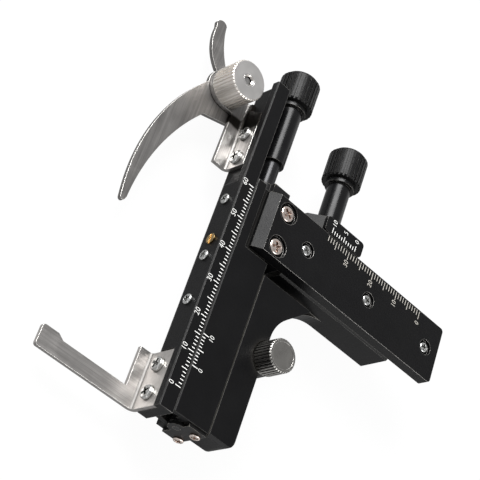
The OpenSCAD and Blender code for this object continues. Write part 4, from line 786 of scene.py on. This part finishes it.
DRUM_TOP = -1.35
SOCKET_SCREW_R, SOCKET_SCREW_H, SOCKET_RIM_R = 1.84, 0.7, 1.5
SOCKET_CORNER_R, SOCKET_BEVEL_H, SOCKET_DEPTH = 1.2, 0.45, 2.4
shape = bmesh.new()
rings = [[(SOCKET_SCREW_R, -SOCKET_SCREW_H)] * RING_SIDES, [(SOCKET_SCREW_R, 0)] * RING_SIDES,
         [(SOCKET_RIM_R, 0)] * RING_SIDES]
rings += [[(hex_radius(SIDE_ANGLE * i, SOCKET_CORNER_R), -depth) for i in range(RING_SIDES)]
          for depth in (SOCKET_BEVEL_H, SOCKET_DEPTH)]
places = []
for ring in rings:
    corners = [(*around(r, i), z) for i, (r, z) in enumerate(ring)]
    places.append([from_scale_zero(PIVOT_X + x, PIVOT_Y + y, DRUM_TOP + z) for x, y, z in corners])
shape.faces.new(ring_skin(shape, places))
# Painted shade: ambient occlusion over 3 mm darkens the hex socket nearly to black
screw_nickel = turned("satin_nickel_plated_socket_screw", DRUM_LIT_NICKEL, (0.24, 0.36), METAL,
                      PIVOT_AXIS, "Z", 0.2, 0.003, edge_mm=0.08, painted_shade_share=0.97, painted_shade_mm=3, painted_end_tone=DRUM_END_SHADE)
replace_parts(finished("drum_screw_socket", shape, screw_nickel, "finger"), "drum_screw")

# Studio
# A pale floor under the part, two large soft lamps over it and a dim sky that is white at the horizon.
# The camera stands where the photograph's did.

low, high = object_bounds()
FLOOR_GAP = 0.05
floor_shape = bmesh.new()
bmesh.ops.create_grid(floor_shape, x_segments=1, y_segments=1, size=3.0,
                      matrix=Matrix.Translation((0, 0, low.z - FLOOR_GAP * MM)))
floor_mesh = bpy.data.meshes.new("floor")
floor_shape.to_mesh(floor_mesh)
floor_shape.free()
floor = bpy.data.objects.new("floor", floor_mesh)
bpy.context.scene.collection.objects.link(floor)

# The floor is white to the camera, and dimmer in what the part mirrors: more so towards the slide, past the front place
SHOWN_WHITE_SHARE = 0.95
REAR_FLOOR_Y, REAR_STRENGTH = -10, 0.6
FRONT_FLOOR_Y, FRONT_STRENGTH = 2, 0.42
floor_paint, tree, place = start_finish("matt_white_floor")
light_path = add(tree, "ShaderNodeLightPath").outputs
direct = add(tree, "ShaderNodeMath", {"operation": "MAXIMUM"},
             {0: light_path["Is Camera Ray"], 1: light_path["Is Transmission Ray"]}).outputs["Value"]
seen = add(tree, "ShaderNodeMath", {"operation": "MAXIMUM"},
           {0: direct, 1: light_path["Is Glossy Ray"]}).outputs["Value"]
share = add(tree, "ShaderNodeMath", {"operation": "MULTIPLY"}, {0: seen, 1: SHOWN_WHITE_SHARE}).outputs["Value"]
along_y = add(tree, "ShaderNodeSeparateXYZ", {}, {"Vector": place}).outputs["Y"]
mirrored = add(tree, "ShaderNodeMapRange", {"clamp": True, "interpolation_type": "SMOOTHSTEP"},
               {"Value": along_y, "From Min": REAR_FLOOR_Y * MM, "From Max": FRONT_FLOOR_Y * MM,
                "To Min": REAR_STRENGTH, "To Max": FRONT_STRENGTH}).outputs["Result"]
strength = add(tree, "ShaderNodeMix", {"data_type": "FLOAT"},
               {"Factor": direct, "A": mirrored, "B": 1.0}).outputs["Result"]
matt = add(tree, "ShaderNodeBsdfDiffuse", {}, {"Color": linear("#f4f4f4")})
white = add(tree, "ShaderNodeEmission", {}, {"Color": (1, 1, 1, 1), "Strength": strength})
both = add(tree, "ShaderNodeMixShader", {}, {0: share, 1: matt.outputs["BSDF"], 2: white.outputs["Emission"]})
add(tree, "ShaderNodeOutputMaterial", {}, {"Surface": both.outputs["Shader"]})
floor_mesh.materials.append(floor_paint)

SKY_STRENGTH = 0.4
world = bpy.data.worlds.new("studio")
bpy.context.scene.world = world
world.use_nodes = True
tree = world.node_tree
tree.nodes.clear()
way = add(tree, "ShaderNodeTexCoord").outputs["Generated"]
rise = add(tree, "ShaderNodeSeparateXYZ", {}, {"Vector": way}).outputs["Z"]
level = add(tree, "ShaderNodeMapRange", {"clamp": True, "interpolation_type": "SMOOTHSTEP"},
            {"Value": rise, "From Min": 0.12, "From Max": 0.55,
             "To Min": 1.0, "To Max": SKY_STRENGTH}).outputs["Result"]
sky = add(tree, "ShaderNodeBackground", {}, {"Color": (1, 1, 1, 1), "Strength": level})
add(tree, "ShaderNodeOutputWorld", {}, {"Surface": sky.outputs["Background"]})


def soft_lamp(name, toward, distance, size, power):
    """A square soft lamp that looks at the part from a direction. Its distance and size are in metres."""
    lamp = bpy.data.lights.new(name, "AREA")
    lamp.shape = "SQUARE"
    lamp.size = size
    lamp.energy = power
    made = bpy.data.objects.new(name, lamp)
    bpy.context.scene.collection.objects.link(made)
    direction = Vector(toward).normalized()
    stand = Matrix.Translation((low + high) / 2 + direction * distance)
    made.matrix_world = stand @ direction.to_track_quat("Z", "Y").to_matrix().to_4x4()


soft_lamp("key", (0.514, 0.566, 0.636), 0.9, 0.55, 14.8)
soft_lamp("fill", (-0.713, -0.476, 0.514), 1.1, 0.8, 7)

# The camera's place and directions, solved from the ticks of both scales
EYE_AT = (-0.1723, 0.2012, 0.2842)
EYE_RIGHT, EYE_UP, EYE_BACK = (0.2928, -0.6842, 0.6679), (0.8062, 0.5523, 0.2123), (-0.5141, 0.4763, 0.7133)
camera = bpy.data.cameras.new("camera")
camera.lens = 113.3
camera.sensor_width = 36
camera.clip_start, camera.clip_end = 0.01, 20
eye = bpy.data.objects.new("camera", camera)
bpy.context.scene.collection.objects.link(eye)
eye_turn = Matrix([Vector(v).normalized() for v in (EYE_RIGHT, EYE_UP, EYE_BACK)]).transposed()
eye.matrix_world = Matrix.Translation(EYE_AT) @ eye_turn.to_4x4()
bpy.context.scene.camera = eye
bpy.context.scene.view_settings.view_transform = "Standard"
